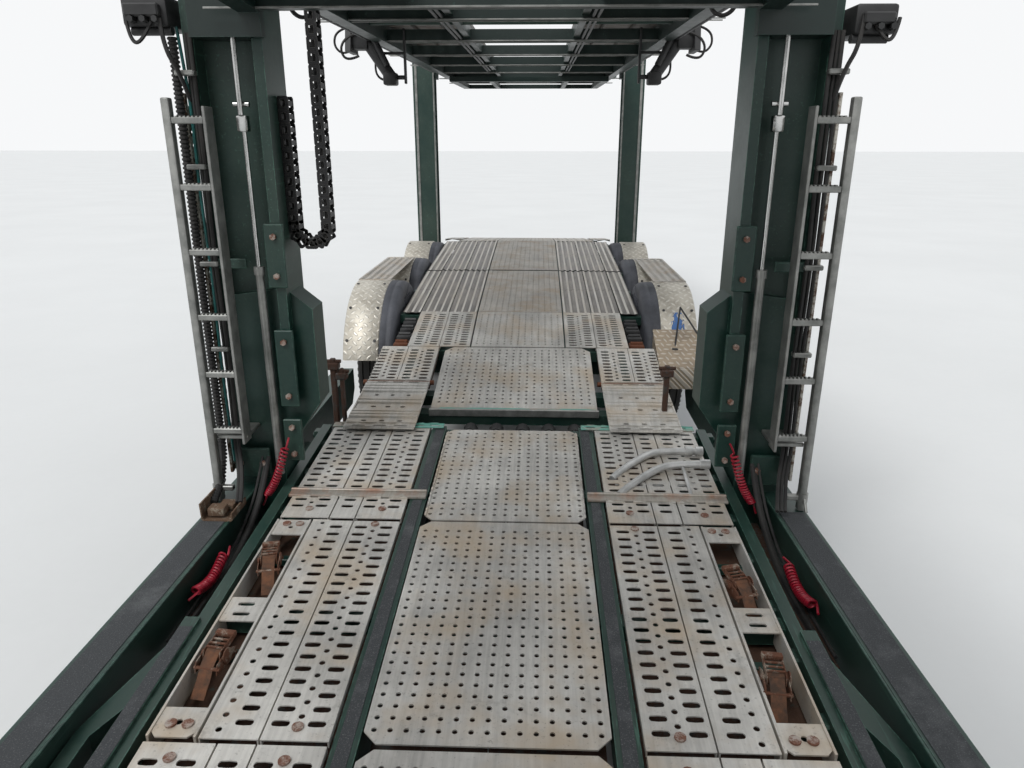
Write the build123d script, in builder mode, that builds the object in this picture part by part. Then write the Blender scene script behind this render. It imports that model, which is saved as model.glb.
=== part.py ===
# Articulated car transporter: a low-roof tractor unit and a two-deck semi-trailer.
# Millimetres. +Y points to the rear, +X to the right when looking to the rear, +Z up.
# The origin is on the ground, midway along and across the vehicle.
from build123d import *
import math
import os

os.makedirs("parts", exist_ok=True)

# Overall size
overall_length = 16480.0
half_width = 1275.0
nose_y = -overall_length / 2
tail_y = overall_length / 2

# Stations along the vehicle
front_axle_y = nose_y + 1370.0
drive_axle_y = front_axle_y + 3600.0
king_pin_y = drive_axle_y - 500.0
neck_front_y = king_pin_y - 1200.0
neck_wall_y = king_pin_y + 1650.0
low_deck_front_y = neck_wall_y + 190.0
front_post_y = 765.0
low_deck_end_y = 1245.0
mid_front_y = 1455.0
flap_hinge_y = 1735.0
mid_break_y = 2215.0
slats_start_y = 2835.0
slats_joint_y = 4085.0
crest_y = 5535.0
rear_post_y = 6155.0
lower_tail_y = 8085.0
trailer_axle_y = [3155.0, 4305.0, 5455.0]
upper_rear_start_y = 910.0
upper_front_end_y = 620.0
upper_front_start_y = king_pin_y - 1950.0

# Heights
sill_top = 560.0
sill_bottom = 330.0
cross_bottom = 240.0
neck_top = 1240.0
neck_bottom = 1080.0
coupling_height = 1060.0
post_top = 3250.0
deck_slope = 0.0627
upper_rear_slope = 0.0222
upper_front_slope = -0.0640

# Hinge pins across the vehicle: y and z of the middle, and radius
low_deck_hinge = (1215.0, 590.0)
low_deck_pin = 15.0
flap_hinge = (flap_hinge_y, 715.0)
flap_pin = 9.0
cab_hinge = (-8180.0, 720.0)
cab_pin = 16.0
pin_gap = 0.5

# Widths from the centreline
sill_inner = 1150.0
rail_outer = 1000.0
rail_inner = 955.0
beam_outer = 415.0
beam_inner = 345.0
upper_outer = 980.0
upper_rail = 80.0

# Wheels
trailer_wheel = {"radius": 433.0, "width": 262.0, "rim": 248.0, "track_x": 1060.0}
front_wheel = {"radius": 470.0, "width": 300.0, "rim": 286.0, "track_x": 1085.0}
twin_wheel = {"radius": 470.0, "width": 290.0, "rim": 286.0, "track_x": 925.0}
twin_spacing = 335.0
spindle_radius = 40.0
half_shaft_radius = 65.0
hub_clearance = 0.5
knuckle_x = 850.0

# Top of the middle and rear deck: station, height
mid_profile = [(mid_front_y, 655.0), (mid_break_y, 804.0), (slats_start_y, 895.0), (slats_joint_y, 990.0),
               (crest_y, 1062.0), (7000.0, 915.0), (lower_tail_y, 760.0)]
bearer_depth = 90.0

SIDES = [("left", -1), ("right", 1)]


def low_deck_z(y):
    """Top of the low front deck, which falls gently towards the front."""
    return 438.0 + deck_slope * (y - low_deck_front_y)


def upper_rear_z(y):
    """Underside of the rear upper deck."""
    return 2639.0 + upper_rear_slope * (y - upper_rear_start_y)


def upper_front_z(y):
    """Underside of the front upper deck."""
    return 2500.0 + upper_front_slope * (y - upper_front_end_y)


def mid_z(y):
    """Top of the middle and rear deck, straight between the profile's points."""
    for (y_a, z_a), (y_b, z_b) in zip(mid_profile, mid_profile[1:]):
        if y <= y_b:
            return z_a + (z_b - z_a) * (y - y_a) / (y_b - y_a)
    return mid_profile[-1][1]


def save(part, name):
    """Label a finished piece and write it under its own name."""
    part.label = name
    export_step(part, f"parts/{name}.step")


def side_plate(points, x_low, x_high, mode=Mode.ADD):
    """Extrude a side outline of (y, z) points from x_low to x_high."""
    with BuildSketch(Plane.YZ.offset(x_low)) as outline:
        with BuildLine():
            Polyline(*points, close=True)
        make_face()
    extrude(outline.sketch, amount=x_high - x_low, mode=mode)


def both_sides(points, inner, outer, mode=Mode.ADD):
    """The same side outline on the left and on the right, between two distances from the centreline."""
    side_plate(points, inner, outer, mode)
    side_plate(points, -outer, -inner, mode)


def cross_plate(points, y_low, y_high, mode=Mode.ADD):
    """Extrude a cross-section outline of (x, z) points from y_low to y_high."""
    with BuildSketch(Plane.XZ.offset(-y_high)) as outline:
        with BuildLine():
            Polyline(*points, close=True)
        make_face()
    extrude(outline.sketch, amount=y_high - y_low, mode=mode)


def plan_plate(points, z_low, z_high, mode=Mode.ADD):
    """Extrude a plan outline of (x, y) points from z_low to z_high."""
    with BuildSketch(Plane.XY.offset(z_low)) as outline:
        with BuildLine():
            Polyline(*points, close=True)
        make_face()
    extrude(outline.sketch, amount=z_high - z_low, mode=mode)


def out(sign, inner, outer):
    """Limits across the vehicle for a piece on one side, between two distances from the centreline."""
    return (inner, outer) if sign > 0 else (-outer, -inner)


def slab(x, y, z, mode=Mode.ADD):
    """A straight-sided bar between the given pairs of limits."""
    with BuildSketch(Plane.XY.offset(z[0])) as outline:
        with Locations(((x[0] + x[1]) / 2, (y[0] + y[1]) / 2)):
            Rectangle(x[1] - x[0], y[1] - y[0])
    extrude(outline.sketch, amount=z[1] - z[0], mode=mode)


def round_bar(centre, limits, radius, mode=Mode.ADD):
    """A round pin or bore across the vehicle about centre (y, z), between two distances along x."""
    with BuildSketch(Plane.YZ.offset(limits[0])) as section:
        with Locations(centre):
            Circle(radius)
    extrude(section.sketch, amount=limits[1] - limits[0], mode=mode)


def sloped(y_low, y_high, height, top, bottom):
    """Side outline of a bar that follows a deck: from height(y) + bottom up to height(y) + top."""
    return [(y_low, height(y_low) + bottom), (y_high, height(y_high) + bottom),
            (y_high, height(y_high) + top), (y_low, height(y_low) + top)]


# Wheels and axles, with flats where the real ones are round
tread_sides = 24
rim_sides = 12
hub_sides = 8
bead_gap = 0.3


def drum(centre, limits, radius, sides, mode=Mode.ADD):
    """A drum across the vehicle about centre (x, y, z), between two distances along x. Its radius is to a flat."""
    x, y, z = centre
    with BuildSketch(Plane(origin=(x + limits[0], y, z), x_dir=(0, 1, 0), z_dir=(1, 0, 0))) as section:
        RegularPolygon(radius, sides, major_radius=False, rotation=180 / sides)
    extrude(section.sketch, amount=limits[1] - limits[0], mode=mode)


def end_faces(builder):
    """The flat faces across the axle, from the left one to the right one."""
    return builder.faces().filter_by(Axis.X).sort_by(Axis.X)


def make_tyre(size):
    """One tyre about the origin: flat tread, side walls that swell half way up, and a chamfered bead."""
    half = size["width"] / 2
    r_out = size["radius"]
    r_in = size["rim"] + bead_gap
    r_mid = (r_in + r_out) / 2
    with BuildPart() as ring:
        drum((0, 0, 0), (-half, half), r_out, tread_sides)
        for end in (0, -1):
            face = end_faces(ring)[end]
            chamfer(face.edges(), length=r_out - r_mid, length2=0.14 * half, reference=face)
        drum((0, 0, 0), (-half, half), r_in, rim_sides, mode=Mode.SUBTRACT)
        for end in (0, -1):
            face = end_faces(ring)[end]
            chamfer(face.inner_wires()[0].edges(), length=0.8 * (r_mid - r_in), length2=0.2 * half, reference=face)
    return ring.part


def make_disc_rim(size, hub_in, hub_out, disc):
    """A disc wheel that faces +x: barrel, dish that bulges outwards, and a hub with a bore for the spindle."""
    r = size["rim"]
    half = 0.42 * size["width"]
    dish_depth = 54.0
    with BuildPart() as dish:
        drum((disc, 0, 0), (14 - dish_depth, 14), r - 10, rim_sides)
        face = end_faces(dish)[-1]
        chamfer(face.edges(), length=0.4 * r, length2=dish_depth - 6, reference=face)
    with BuildPart() as rim:
        drum((0, 0, 0), (-half, half), r, rim_sides)
        drum((0, 0, 0), (-half, half), r - 14, rim_sides, mode=Mode.SUBTRACT)
        add(dish.part)
        drum((disc, 0, 0), (-41, -4), 0.64 * r, rim_sides, mode=Mode.SUBTRACT)
        drum((0, 0, 0), (hub_in, hub_out - 20), 108, hub_sides)
        drum((0, 0, 0), (hub_out - 20, hub_out + 12), 74, hub_sides)
        drum((0, 0, 0), (hub_in, hub_out - 10), spindle_radius + hub_clearance, hub_sides, mode=Mode.SUBTRACT)
    return rim.part


def make_twin_rim(size):
    """A pair of barrels on one deep disc, with the drive hub in the middle."""
    r = size["rim"]
    reach = twin_spacing / 2 + 0.42 * size["width"]
    with BuildPart() as rim:
        drum((0, 0, 0), (-reach, reach), r, rim_sides)
        for sign in (-1, 1):
            drum((0, 0, 0), out(sign, 40, reach), r - 14, rim_sides, mode=Mode.SUBTRACT)
        drum((0, 0, 0), (-170, 160), 140, hub_sides)
        drum((0, 0, 0), (160, 200), 96, hub_sides)
        drum((0, 0, 0), (-170, 180), half_shaft_radius + hub_clearance, hub_sides, mode=Mode.SUBTRACT)
    return rim.part


# name, one tyre, its places across the wheel, the rim, track and radius, axle stations
wheel_kinds = [("trailer", make_tyre(trailer_wheel), [0.0], make_disc_rim(trailer_wheel, -110, 70, 10), trailer_wheel,
                trailer_axle_y),
               ("front", make_tyre(front_wheel), [0.0], make_disc_rim(front_wheel, -90, 90, 40), front_wheel,
                [front_axle_y]),
               ("drive", make_tyre(twin_wheel), [-twin_spacing / 2, twin_spacing / 2], make_twin_rim(twin_wheel),
                twin_wheel, [drive_axle_y])]

for kind, ring, places, rim, size, stations_y in wheel_kinds:
    with BuildPart() as tyre:
        for place in places:
            add(ring.moved(Location((place, 0, 0))))
    for side, sign in SIDES:
        for number, axle_y in enumerate(stations_y, start=1):
            name = f"{kind}_{number}_{side}" if len(stations_y) > 1 else f"{kind}_{side}"
            turn = 0 if sign > 0 else 180
            place = Location((sign * size["track_x"], axle_y, size["radius"]), (0, 0, turn))
            save(tyre.part.moved(place), f"tyre_{name}")
            save(rim.moved(place), f"rim_{name}")

# Trailer axles: square beam, brake drums, spindles and the trailing arms that hang it under the frame
spindle_tip = trailer_wheel["track_x"] + 55.0
with BuildPart() as trailer_axles:
    for axle_y in trailer_axle_y:
        z = trailer_wheel["radius"]
        slab((-850, 850), (axle_y - 60, axle_y + 60), (z - 60, z + 60))
        for side, sign in SIDES:
            drum((0, axle_y, z), out(sign, 760, 850), 150, rim_sides)
            drum((0, axle_y, z), out(sign, 850, 945), 58, hub_sides)
            round_bar((axle_y, z), out(sign, 940, spindle_tip), spindle_radius)
        arm = [(axle_y - 470, 500), (axle_y - 470, 575), (axle_y - 400, 575), (axle_y - 60, 505), (axle_y + 110, 505),
               (axle_y + 110, 575), (axle_y + 230, 575), (axle_y + 230, 430), (axle_y - 60, 370), (axle_y - 400, 470)]
        both_sides(arm, 615, 685)
save(trailer_axles.part, "trailer_axles")

# Trailer frame: sills, low cross members, neck, chassis beams and the foot of every post
chassis = [(1255, 330), (1520, 330), (2300, 575), (lower_tail_y, 575)]
chassis += [(y, z - bearer_depth) for y, z in reversed(mid_profile)]
chassis += [(1255, 520)]
neck = [(neck_front_y, neck_bottom), (neck_wall_y, neck_bottom), (neck_wall_y, cross_bottom), (1400, cross_bottom),
        (1400, 325), (neck_wall_y + 160, 325), (neck_wall_y + 160, neck_top), (neck_front_y + 120, neck_top),
        (neck_front_y, neck_top - 60)]
sill = [(neck_wall_y, sill_bottom), (2420, sill_bottom), (2500, sill_bottom + 90), (2500, sill_top),
        (neck_wall_y, sill_top)]
# y_low, y_high, z_low, z_high, reach from the centreline
cross_members = [(neck_wall_y, neck_wall_y + 150, cross_bottom, 345, 1190),
                 (-900, -780, cross_bottom, 345, 1190),
                 (150, 250, cross_bottom, 345, 1190),
                 (1262, 1400, cross_bottom, 470, 1190),
                 (2330, 2450, 590, 680, 850),
                 (rear_post_y - 90, rear_post_y + 90, 590, 700, 1235),
                 (7100, 7200, 580, 604, 700),
                 (lower_tail_y - 90, lower_tail_y, 480, 600, 1000),
                 (neck_front_y, neck_front_y + 120, 1090, neck_top - 60, 1180),
                 (-4000, -3900, 1090, 1180, 1180),
                 (-3000, -2900, 1090, 1180, 1180)]
with BuildPart() as trailer_frame:
    both_sides(sill, sill_inner, half_width)
    both_sides(neck, 380, 500)
    both_sides(chassis, 600, 700)
    for y_low, y_high, z_low, z_high, reach in cross_members:
        slab((-reach, reach), (y_low, y_high), (z_low, z_high))
    slab((-1150, 1150), (neck_wall_y, neck_wall_y + 12), (cross_bottom, neck_top))
    both_sides([(neck_front_y, 1140), (neck_wall_y, 1140), (neck_wall_y, neck_top), (neck_front_y, neck_top)],
               1100, 1180)
    slab((-500, 500), (king_pin_y - 500, king_pin_y + 700), (coupling_height + 6, neck_bottom + 12))
    with BuildSketch(Plane.XY.offset(coupling_height - 70)):
        with Locations((0, king_pin_y)):
            Circle(25.4)
    extrude(amount=80)
    for side, sign in SIDES:
        slab(out(sign, 1020, 1140), (neck_wall_y + 60, neck_wall_y + 180), (250, 860))
        slab(out(sign, 1035, 1125), (neck_wall_y + 75, neck_wall_y + 165), (240, 830), mode=Mode.SUBTRACT)
        side_plate([(1262, 400), (1175, 560), (1190, 618), (1240, 618), (1400, 470), (1400, 400)],
                   *out(sign, rail_outer + 5, rail_outer + 35))
        round_bar(low_deck_hinge, out(sign, rail_outer, rail_outer + 40), low_deck_pin + pin_gap, mode=Mode.SUBTRACT)
save(trailer_frame.part, "trailer_frame")

# Landing legs: inner tubes with foot plates, inside the tubes beside the neck wall
with BuildPart() as landing_legs:
    for side, sign in SIDES:
        slab(out(sign, 1041, 1119), (neck_wall_y + 81, neck_wall_y + 159), (205, 640))
        slab(out(sign, 1025, 1135), (neck_wall_y + 55, neck_wall_y + 185), (200, 216))
save(landing_legs.part, "landing_legs")

# Front posts: H-section columns on a root between deck and sill, with a swollen plate above the deck
chain_top = 2560.0
with BuildPart() as front_posts:
    y_front = front_post_y - 115
    y_back = front_post_y + 115
    for side, sign in SIDES:
        column = [(920, y_front), (960, y_front), (960, y_front + 80), (1180, y_front + 80), (1180, y_front),
                  (1220, y_front), (1220, y_back), (1180, y_back), (1180, y_back - 80), (960, y_back - 80),
                  (960, y_back), (920, y_back)]
        plan_plate([(sign * x, y) for x, y in column], 1300, post_top)
        gusset = [(1015, sill_bottom), (sill_inner, sill_bottom), (sill_inner, sill_top), (1235, sill_top),
                  (1235, 1430), (940, 1470), (830, 1380), (830, 960), (1015, 700)]
        cross_plate([(sign * x, z) for x, z in gusset], front_post_y - 75, front_post_y + 75)
    slab((-930, -730), (front_post_y - 25, front_post_y + 35), (chain_top, chain_top + 20))
save(front_posts.part, "front_posts")

# Neck posts and rear posts: channels open to the inside
neck_post_y = neck_front_y + 260
# y, inner and outer face from the centreline, web thickness, foot, top
channel_posts_table = [(neck_post_y, 1000, 1180, 20, neck_top, 3180), (rear_post_y, 1005, 1235, 40, 700, 3150)]
with BuildPart() as channel_posts:
    for side, sign in SIDES:
        for y, inner, outer, web, foot, top in channel_posts_table:
            channel = [(inner, -90), (outer, -90), (outer, 90), (inner, 90), (inner, 70), (outer - web, 70),
                       (outer - web, -70), (inner, -70)]
            plan_plate([(sign * a, y + b) for a, b in channel], foot, top)
save(channel_posts.part, "channel_posts")

# Ladders in front of the front posts: outer stile, inner flat plate and rungs
rung_heights = [892.0, 1141.0, 1382.0, 1643.0, 1889.0, 2130.0]
ladder_y = 525.0
with BuildPart() as ladders:
    for side, sign in SIDES:
        slab(out(sign, 1235, 1275), (ladder_y - 20, ladder_y + 20), (sill_top, 2210))
        slab(out(sign, 1110, 1122), (ladder_y - 20, ladder_y + 60), (830, 2180))
        slab(out(sign, 1108, 1240), (ladder_y + 10, ladder_y + 165), (845, 865))
        for z in rung_heights:
            slab(out(sign, 1120, 1240), (ladder_y - 15, ladder_y + 15), (z - 15, z + 15))
save(ladders.part, "ladders")

# Wheel arches: three merged arcs a side, an aluminium cover outside and a moulded guard inside.
# The same plate makes the sloping control cabinet in front of the first right arch.
arch_radius = 620.0
arch_centre_z = 440.0
arch_floor_z = 600.0
arch_sides = 24


def arch_block(x_low, x_high, radius, mode=Mode.ADD):
    """The merged discs of the three arches, cut off level at the bottom."""
    with BuildSketch(Plane.YZ.offset(x_low)) as discs:
        for axle_y in trailer_axle_y:
            with Locations((axle_y, arch_centre_z)):
                RegularPolygon(radius, arch_sides, major_radius=False, rotation=180 / arch_sides)
        with Locations((trailer_axle_y[1], arch_floor_z - 500)):
            Rectangle(5000, 1000, mode=Mode.SUBTRACT)
    extrude(discs.sketch, amount=x_high - x_low, mode=mode)


with BuildPart() as arch_plates:
    for side, sign in SIDES:
        x_low, x_high = out(sign, 990, 1238)
        arch_block(x_low, x_high, arch_radius)
        arch_block(x_low, x_high, arch_radius - 8, mode=Mode.SUBTRACT)
        slab((x_low, x_high), (trailer_axle_y[0] + 60, trailer_axle_y[1] - 60), (1052, 1058))
    side_plate([(2120, sill_top), (2480, sill_top), (2480, 860), (2120, 700)], 900, 1230)
save(arch_plates.part, "arch_plates")

with BuildPart() as mudguards:
    for side, sign in SIDES:
        arch_block(*out(sign, 868, 1010), arch_radius - 8)
        arch_block(*out(sign, 876, 1010), arch_radius - 22, mode=Mode.SUBTRACT)
        slab(out(sign, 930, 1190), (trailer_axle_y[-1] + 570, trailer_axle_y[-1] + 578), (230, 625))
save(mudguards.part, "mudguards")

# Side members that widen the front of the low deck towards the sills
with BuildPart() as deck_wings:
    y0 = low_deck_front_y + 60
    for side, sign in SIDES:
        outline = [(rail_inner + 10, -300), (1000, -300), (1045, -400), (1138, -740), (1138, y0), (1092, y0),
                   (1092, -760), (rail_inner + 10, -480)]
        plan_plate([(sign * x, y) for x, y in outline], 250, 600)
    side_plate(sloped(y0, -300, low_deck_z, -6, -120), -half_width, half_width, mode=Mode.INTERSECT)

# Low front deck: rails, centre beams and cross pieces, hinged at its rear edge
with BuildPart() as low_deck_frame:
    y0, y1 = low_deck_front_y, low_deck_end_y
    both_sides(sloped(y0, y1, low_deck_z, 0, -90), rail_inner, rail_outer)
    both_sides(sloped(y0, y1, low_deck_z, 0, -80), beam_inner, beam_outer)
    both_sides(sloped(y0, -290, low_deck_z, 12, 0), 985, 1035)
    for y in (y0, -1080, -250, 575, y1 - 60):
        side_plate(sloped(y, y + 60, low_deck_z, -20, -80), -rail_inner, rail_inner)
    add(deck_wings.part)
    for side, sign in SIDES:
        round_bar(low_deck_hinge, out(sign, rail_inner, rail_outer + 45), low_deck_pin)
save(low_deck_frame.part, "low_deck_frame")

# inner and outer distance from the centreline of the planks of one track
track_planks = [(425, 613), (618, 720), (726, 925)]
# y of each end, planks
low_panels = [(y0, -785, track_planks), (-769, 312, [(425, 613), (618, 782)]), (334, 490, track_planks),
              (560, y1, track_planks)]
outer_plates = [(-769, -665), (-300, -180), (210, 312)]
with BuildPart() as low_deck_plates:
    for y_low, y_high, planks in low_panels:
        for inner, outer in planks:
            both_sides(sloped(y_low, y_high, low_deck_z, 8, -18), inner, outer)
    for y_low, y_high in outer_plates:
        both_sides(sloped(y_low, y_high, low_deck_z, 6, -16), 788, 925)
    both_sides(sloped(505, 545, low_deck_z, 14, 0), 348, 945)
    for y_low, y_high, half in ((y0 + 60, -790, 338), (-770, 318, 338), (330, 1185, 325)):
        side_plate(sloped(y_low, y_high, low_deck_z, 8, -18), -half, half)
save(low_deck_plates.part, "low_deck_plates")

# Bridging flaps at the front of the middle deck
for side, sign in SIDES:
    with BuildPart() as flap:
        outline = [(1150, 653), (1160, 651), (1440, 670), (flap_hinge_y - 20, 704), (flap_hinge_y + 18, 708),
                   (flap_hinge_y + 18, 722), (flap_hinge_y - 20, 722), (1440, 687), (1150, 662)]
        side_plate(outline, *out(sign, 500, 870))
        round_bar(flap_hinge, out(sign, 485, 885), flap_pin)
    save(flap.part, f"track_flap_{side}")

# Fixed deck plates: front centre plate, slotted tracks, ribbed tracks between the wheels, rear slope and neck
with BuildPart() as deck_plates:
    side_plate(sloped(mid_front_y, mid_break_y - 5, mid_z, 0, -26), -460, 460)
    both_sides(sloped(flap_hinge_y + 30, mid_break_y - 5, mid_z, 0, -26), 500, 870)
    for y_low, y_high in ((mid_break_y + 5, slats_start_y - 3), (slats_start_y + 3, slats_joint_y - 20),
                          (slats_joint_y + 20, crest_y - 3)):
        side_plate(sloped(y_low, y_high, mid_z, 0, -30), -300, 300)
        both_sides(sloped(y_low, y_high, mid_z, 0, -30), 310, 712)
    both_sides(sloped(slats_start_y + 3, slats_joint_y - 20, mid_z, -6, -30), 722, 845)
    both_sides(sloped(slats_joint_y + 20, crest_y - 3, mid_z, -6, -30), 722, 845)
    for y_low, y_high in ((crest_y + 3, 6990), (7010, lower_tail_y)):
        side_plate(sloped(y_low, y_high, mid_z, 0, -30), -300, 300)
        both_sides(sloped(y_low, y_high, mid_z, 0, -30), 310, 712)
        both_sides(sloped(max(y_low, 6300), y_high, mid_z, 0, -30), 722, 960)
    for x_low, x_high in ((-990, -640), (-620, -10), (10, 620), (640, 990)):
        slab((x_low, x_high), (neck_front_y + 60, neck_wall_y + 150), (neck_top, neck_top + 25))
save(deck_plates.part, "deck_plates")

# Middle deck bearers: beams and cross pieces that carry the plates on the chassis beams
with BuildPart() as mid_deck_bearers:
    top_line = [(y, z - 30) for y, z in mid_profile]
    bottom_line = [(y, z - bearer_depth) for y, z in reversed(mid_profile)]
    both_sides(top_line + bottom_line, 302, 350)
    both_sides(top_line + bottom_line, 605, 695)
    for y in (mid_front_y, 1650, mid_break_y, slats_start_y, 3480, slats_joint_y, 4800, crest_y - 60, 6300, 7000,
              lower_tail_y - 60):
        side_plate(sloped(y, y + 60, mid_z, -30, -bearer_depth), -868, 868)
save(mid_deck_bearers.part, "mid_deck_bearers")

# Upper rear deck and its guide blocks in the posts
with BuildPart() as upper_rear_frame:
    y_end = tail_y
    both_sides(sloped(upper_rear_start_y, y_end, upper_rear_z, 110, 0), upper_outer - upper_rail, upper_outer)
    both_sides(sloped(upper_rear_start_y, y_end, upper_rear_z, 100, 30), 340, 380)
    for index in range(8):
        y = upper_rear_start_y + index * (tail_y - 60 - upper_rear_start_y) / 7
        side_plate(sloped(y, y + 60, upper_rear_z, 80, 10), -upper_outer + 10, upper_outer - 10)
    for side, sign in SIDES:
        slab(out(sign, 968, 1172), (812, 925), (2560, 2820))
        slab(out(sign, 900, 1172), (890, 950), (2560, 2740))
        slab(out(sign, 975, 1183), (rear_post_y - 60, rear_post_y + 60), (2700, 2900))
save(upper_rear_frame.part, "upper_rear_frame")

with BuildPart() as upper_rear_tracks:
    both_sides(sloped(upper_rear_start_y + 45, tail_y - 10, upper_rear_z, 135, 110), 345, 970)
save(upper_rear_tracks.part, "upper_rear_tracks")

with BuildPart() as upper_extension:
    for y in (6500, 8170):
        side_plate(sloped(y, y + 60, upper_rear_z, -10, -60), -890, 890)
    both_sides(sloped(6500, 8230, upper_rear_z, -10, -60), 810, 890)
    both_sides(sloped(6500, 8230, upper_rear_z, -10, -60), 400, 450)
save(upper_extension.part, "upper_extension")

# Upper front deck
with BuildPart() as upper_front_frame:
    y0, y1 = upper_front_start_y, upper_front_end_y
    both_sides(sloped(y0, y1, upper_front_z, 110, 0), upper_outer - upper_rail, upper_outer)
    both_sides(sloped(y0, y1, upper_front_z, 100, 30), 340, 380)
    for index in range(7):
        y = y0 + index * (y1 - 60 - y0) / 6
        side_plate(sloped(y, y + 60, upper_front_z, 80, 10), -upper_outer + 10, upper_outer - 10)
    for side, sign in SIDES:
        slab(out(sign, 968, 1172), (600, 718), (2420, 2680))
        slab(out(sign, 900, 1172), (595, 640), (2420, 2600))
        slab(out(sign, 975, 1148), (neck_post_y - 60, neck_post_y + 60), (2780, 2980))
save(upper_front_frame.part, "upper_front_frame")

with BuildPart() as upper_front_tracks:
    both_sides(sloped(upper_front_start_y, upper_front_end_y - 30, upper_front_z, 135, 110), 345, 970)
save(upper_front_tracks.part, "upper_front_tracks")

# Loading ramps, stowed under the rear deck
with BuildPart() as loading_ramps:
    for side, sign in SIDES:
        slab(out(sign, 130, 560), (6400, 8060), (610, 662))
save(loading_ramps.part, "loading_ramps")

# Rear bumper with lamp boxes
with BuildPart() as rear_bumper:
    slab((-1215, 1215), (lower_tail_y, lower_tail_y + 90), (400, 520))
    both_sides([(lower_tail_y, 400), (lower_tail_y + 130, 400), (lower_tail_y + 130, 540), (lower_tail_y, 540)],
               760, 1215)
    for inner, outer in ((780, 900), (920, 1040), (1060, 1195)):
        both_sides([(lower_tail_y + 122, 430), (lower_tail_y + 130, 430), (lower_tail_y + 130, 510),
                    (lower_tail_y + 122, 510)], inner, outer, mode=Mode.SUBTRACT)
save(rear_bumper.part, "rear_bumper")

# Chock rack in the gap between the low and the middle deck
with BuildPart() as chock_rack:
    slab((-420, 420), (1265, 1395), (470, 490))
    for index in range(6):
        x = -300 + index * 120
        chock = [(-42, 490), (-42, 520), (-30, 550), (30, 550), (42, 520), (42, 490)]
        cross_plate([(x + a, z) for a, z in chock], 1280, 1390)
save(chock_rack.part, "chock_rack")

# Energy chain that hangs from the left front post, turns back up and ends under the upper deck's bracket:
# straight and curved runs of links, each a box a little narrower at its rear end than the one it hooks into
chain_y = (front_post_y - 15, front_post_y + 55)
chain_bend = 88.0
chain_link = 50.0
chain_low = 1713.0
chain_x = -915.0
link_pitch = 62.0
bend_links = 5


def link_box(x, z, angle, length):
    """One link about (x, z), turned in the plane across the vehicle."""
    with BuildSketch(Plane.XZ.offset(-chain_y[1])) as face:
        with Locations(Location((x, z, 0), (0, 0, angle))):
            Trapezoid(chain_link, length, 86)
    extrude(face.sketch, amount=chain_y[1] - chain_y[0])


with BuildPart() as energy_chain:
    centre_radius = chain_bend - chain_link / 2
    for index in range(8):
        link_box(chain_x + chain_link / 2, chain_low + (index + 0.5) * link_pitch, 180, link_pitch + 6)
    for index in range(bend_links):
        turn = 180 + (index + 0.5) * 180 / bend_links
        link_box(chain_x + chain_bend + centre_radius * math.cos(math.radians(turn)),
                 chain_low + centre_radius * math.sin(math.radians(turn)), turn,
                 math.pi * chain_bend / bend_links + 2)
    up_x = chain_x + 2 * chain_bend - chain_link / 2
    up_links = 13
    up_pitch = (chain_top - chain_low) / up_links
    for index in range(up_links):
        height = up_pitch + (6 if index < up_links - 1 else 0)
        link_box(up_x, chain_low + index * up_pitch + height / 2, 0, height)
save(energy_chain.part, "energy_chain")

# Tractor frame: two rails and cross members
with BuildPart() as tractor_frame:
    rail = [(nose_y + 130, 600), (-7500, 600), (front_axle_y - 300, 630), (king_pin_y + 1130, 630),
            (king_pin_y + 1130, 850), (king_pin_y + 700, 890), (front_axle_y - 300, 890), (-7480, 745),
            (nose_y + 130, 745)]
    both_sides(rail, 385, 465)
    for y_low, y_high in ((nose_y + 130, nose_y + 230), (-6100, -6000), (-4900, -4800), (-2800, -2700)):
        slab((-400, 400), (y_low, y_high), (640, 740))
    for side, sign in SIDES:
        slab(out(sign, 460, 700), (-6150, -6090), (640, 720))
        slab(out(sign, 460, 700), (-5300, -5240), (640, 720))
        slab(out(sign, 460, 600), (drive_axle_y - 520, drive_axle_y - 480), (640, 690))
        slab(out(sign, 460, 600), (drive_axle_y + 480, drive_axle_y + 520), (640, 690))
save(tractor_frame.part, "tractor_frame")

with BuildPart() as front_axle:
    slab((-knuckle_x, knuckle_x), (front_axle_y - 45, front_axle_y + 45), (380, 460))
    for side, sign in SIDES:
        with BuildSketch(Plane.XY.offset(380)):
            with Locations((sign * knuckle_x, front_axle_y)):
                Circle(42)
        extrude(amount=80)
        side_plate([(front_axle_y - 60, 455), (front_axle_y + 60, 455), (front_axle_y + 560, 560),
                    (front_axle_y + 560, 630), (front_axle_y, 510), (front_axle_y - 290, 630),
                    (front_axle_y - 290, 560)], *out(sign, 395, 455))
save(front_axle.part, "front_axle")

for side, sign in SIDES:
    with BuildPart() as knuckle:
        y_pair = (front_axle_y - 50, front_axle_y + 50)
        slab(out(sign, knuckle_x - 40, knuckle_x + 80), y_pair, (326, 374))
        slab(out(sign, knuckle_x - 40, knuckle_x + 80), y_pair, (466, 514))
        slab(out(sign, knuckle_x + 50, knuckle_x + 80), y_pair, (326, 530))
        drum((0, front_axle_y, front_wheel["radius"]), out(sign, knuckle_x + 70, 985), 60, hub_sides)
        round_bar((front_axle_y, front_wheel["radius"]), out(sign, 980, 1155), spindle_radius)
    save(knuckle.part, f"knuckle_{side}")

with BuildPart() as drive_axle:
    round_bar((drive_axle_y, twin_wheel["radius"]), (-1085, 1085), half_shaft_radius)
    for reach, radius in ((590, 95), (170, 170), (80, 230)):
        drum((0, drive_axle_y, twin_wheel["radius"]), (-reach, reach), radius, rim_sides)
    both_sides([(drive_axle_y - 450, 560), (drive_axle_y - 60, 500), (drive_axle_y + 60, 500),
                (drive_axle_y + 350, 560), (drive_axle_y + 350, 630), (drive_axle_y - 450, 630)], 395, 455)
save(drive_axle.part, "drive_axle")

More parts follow.
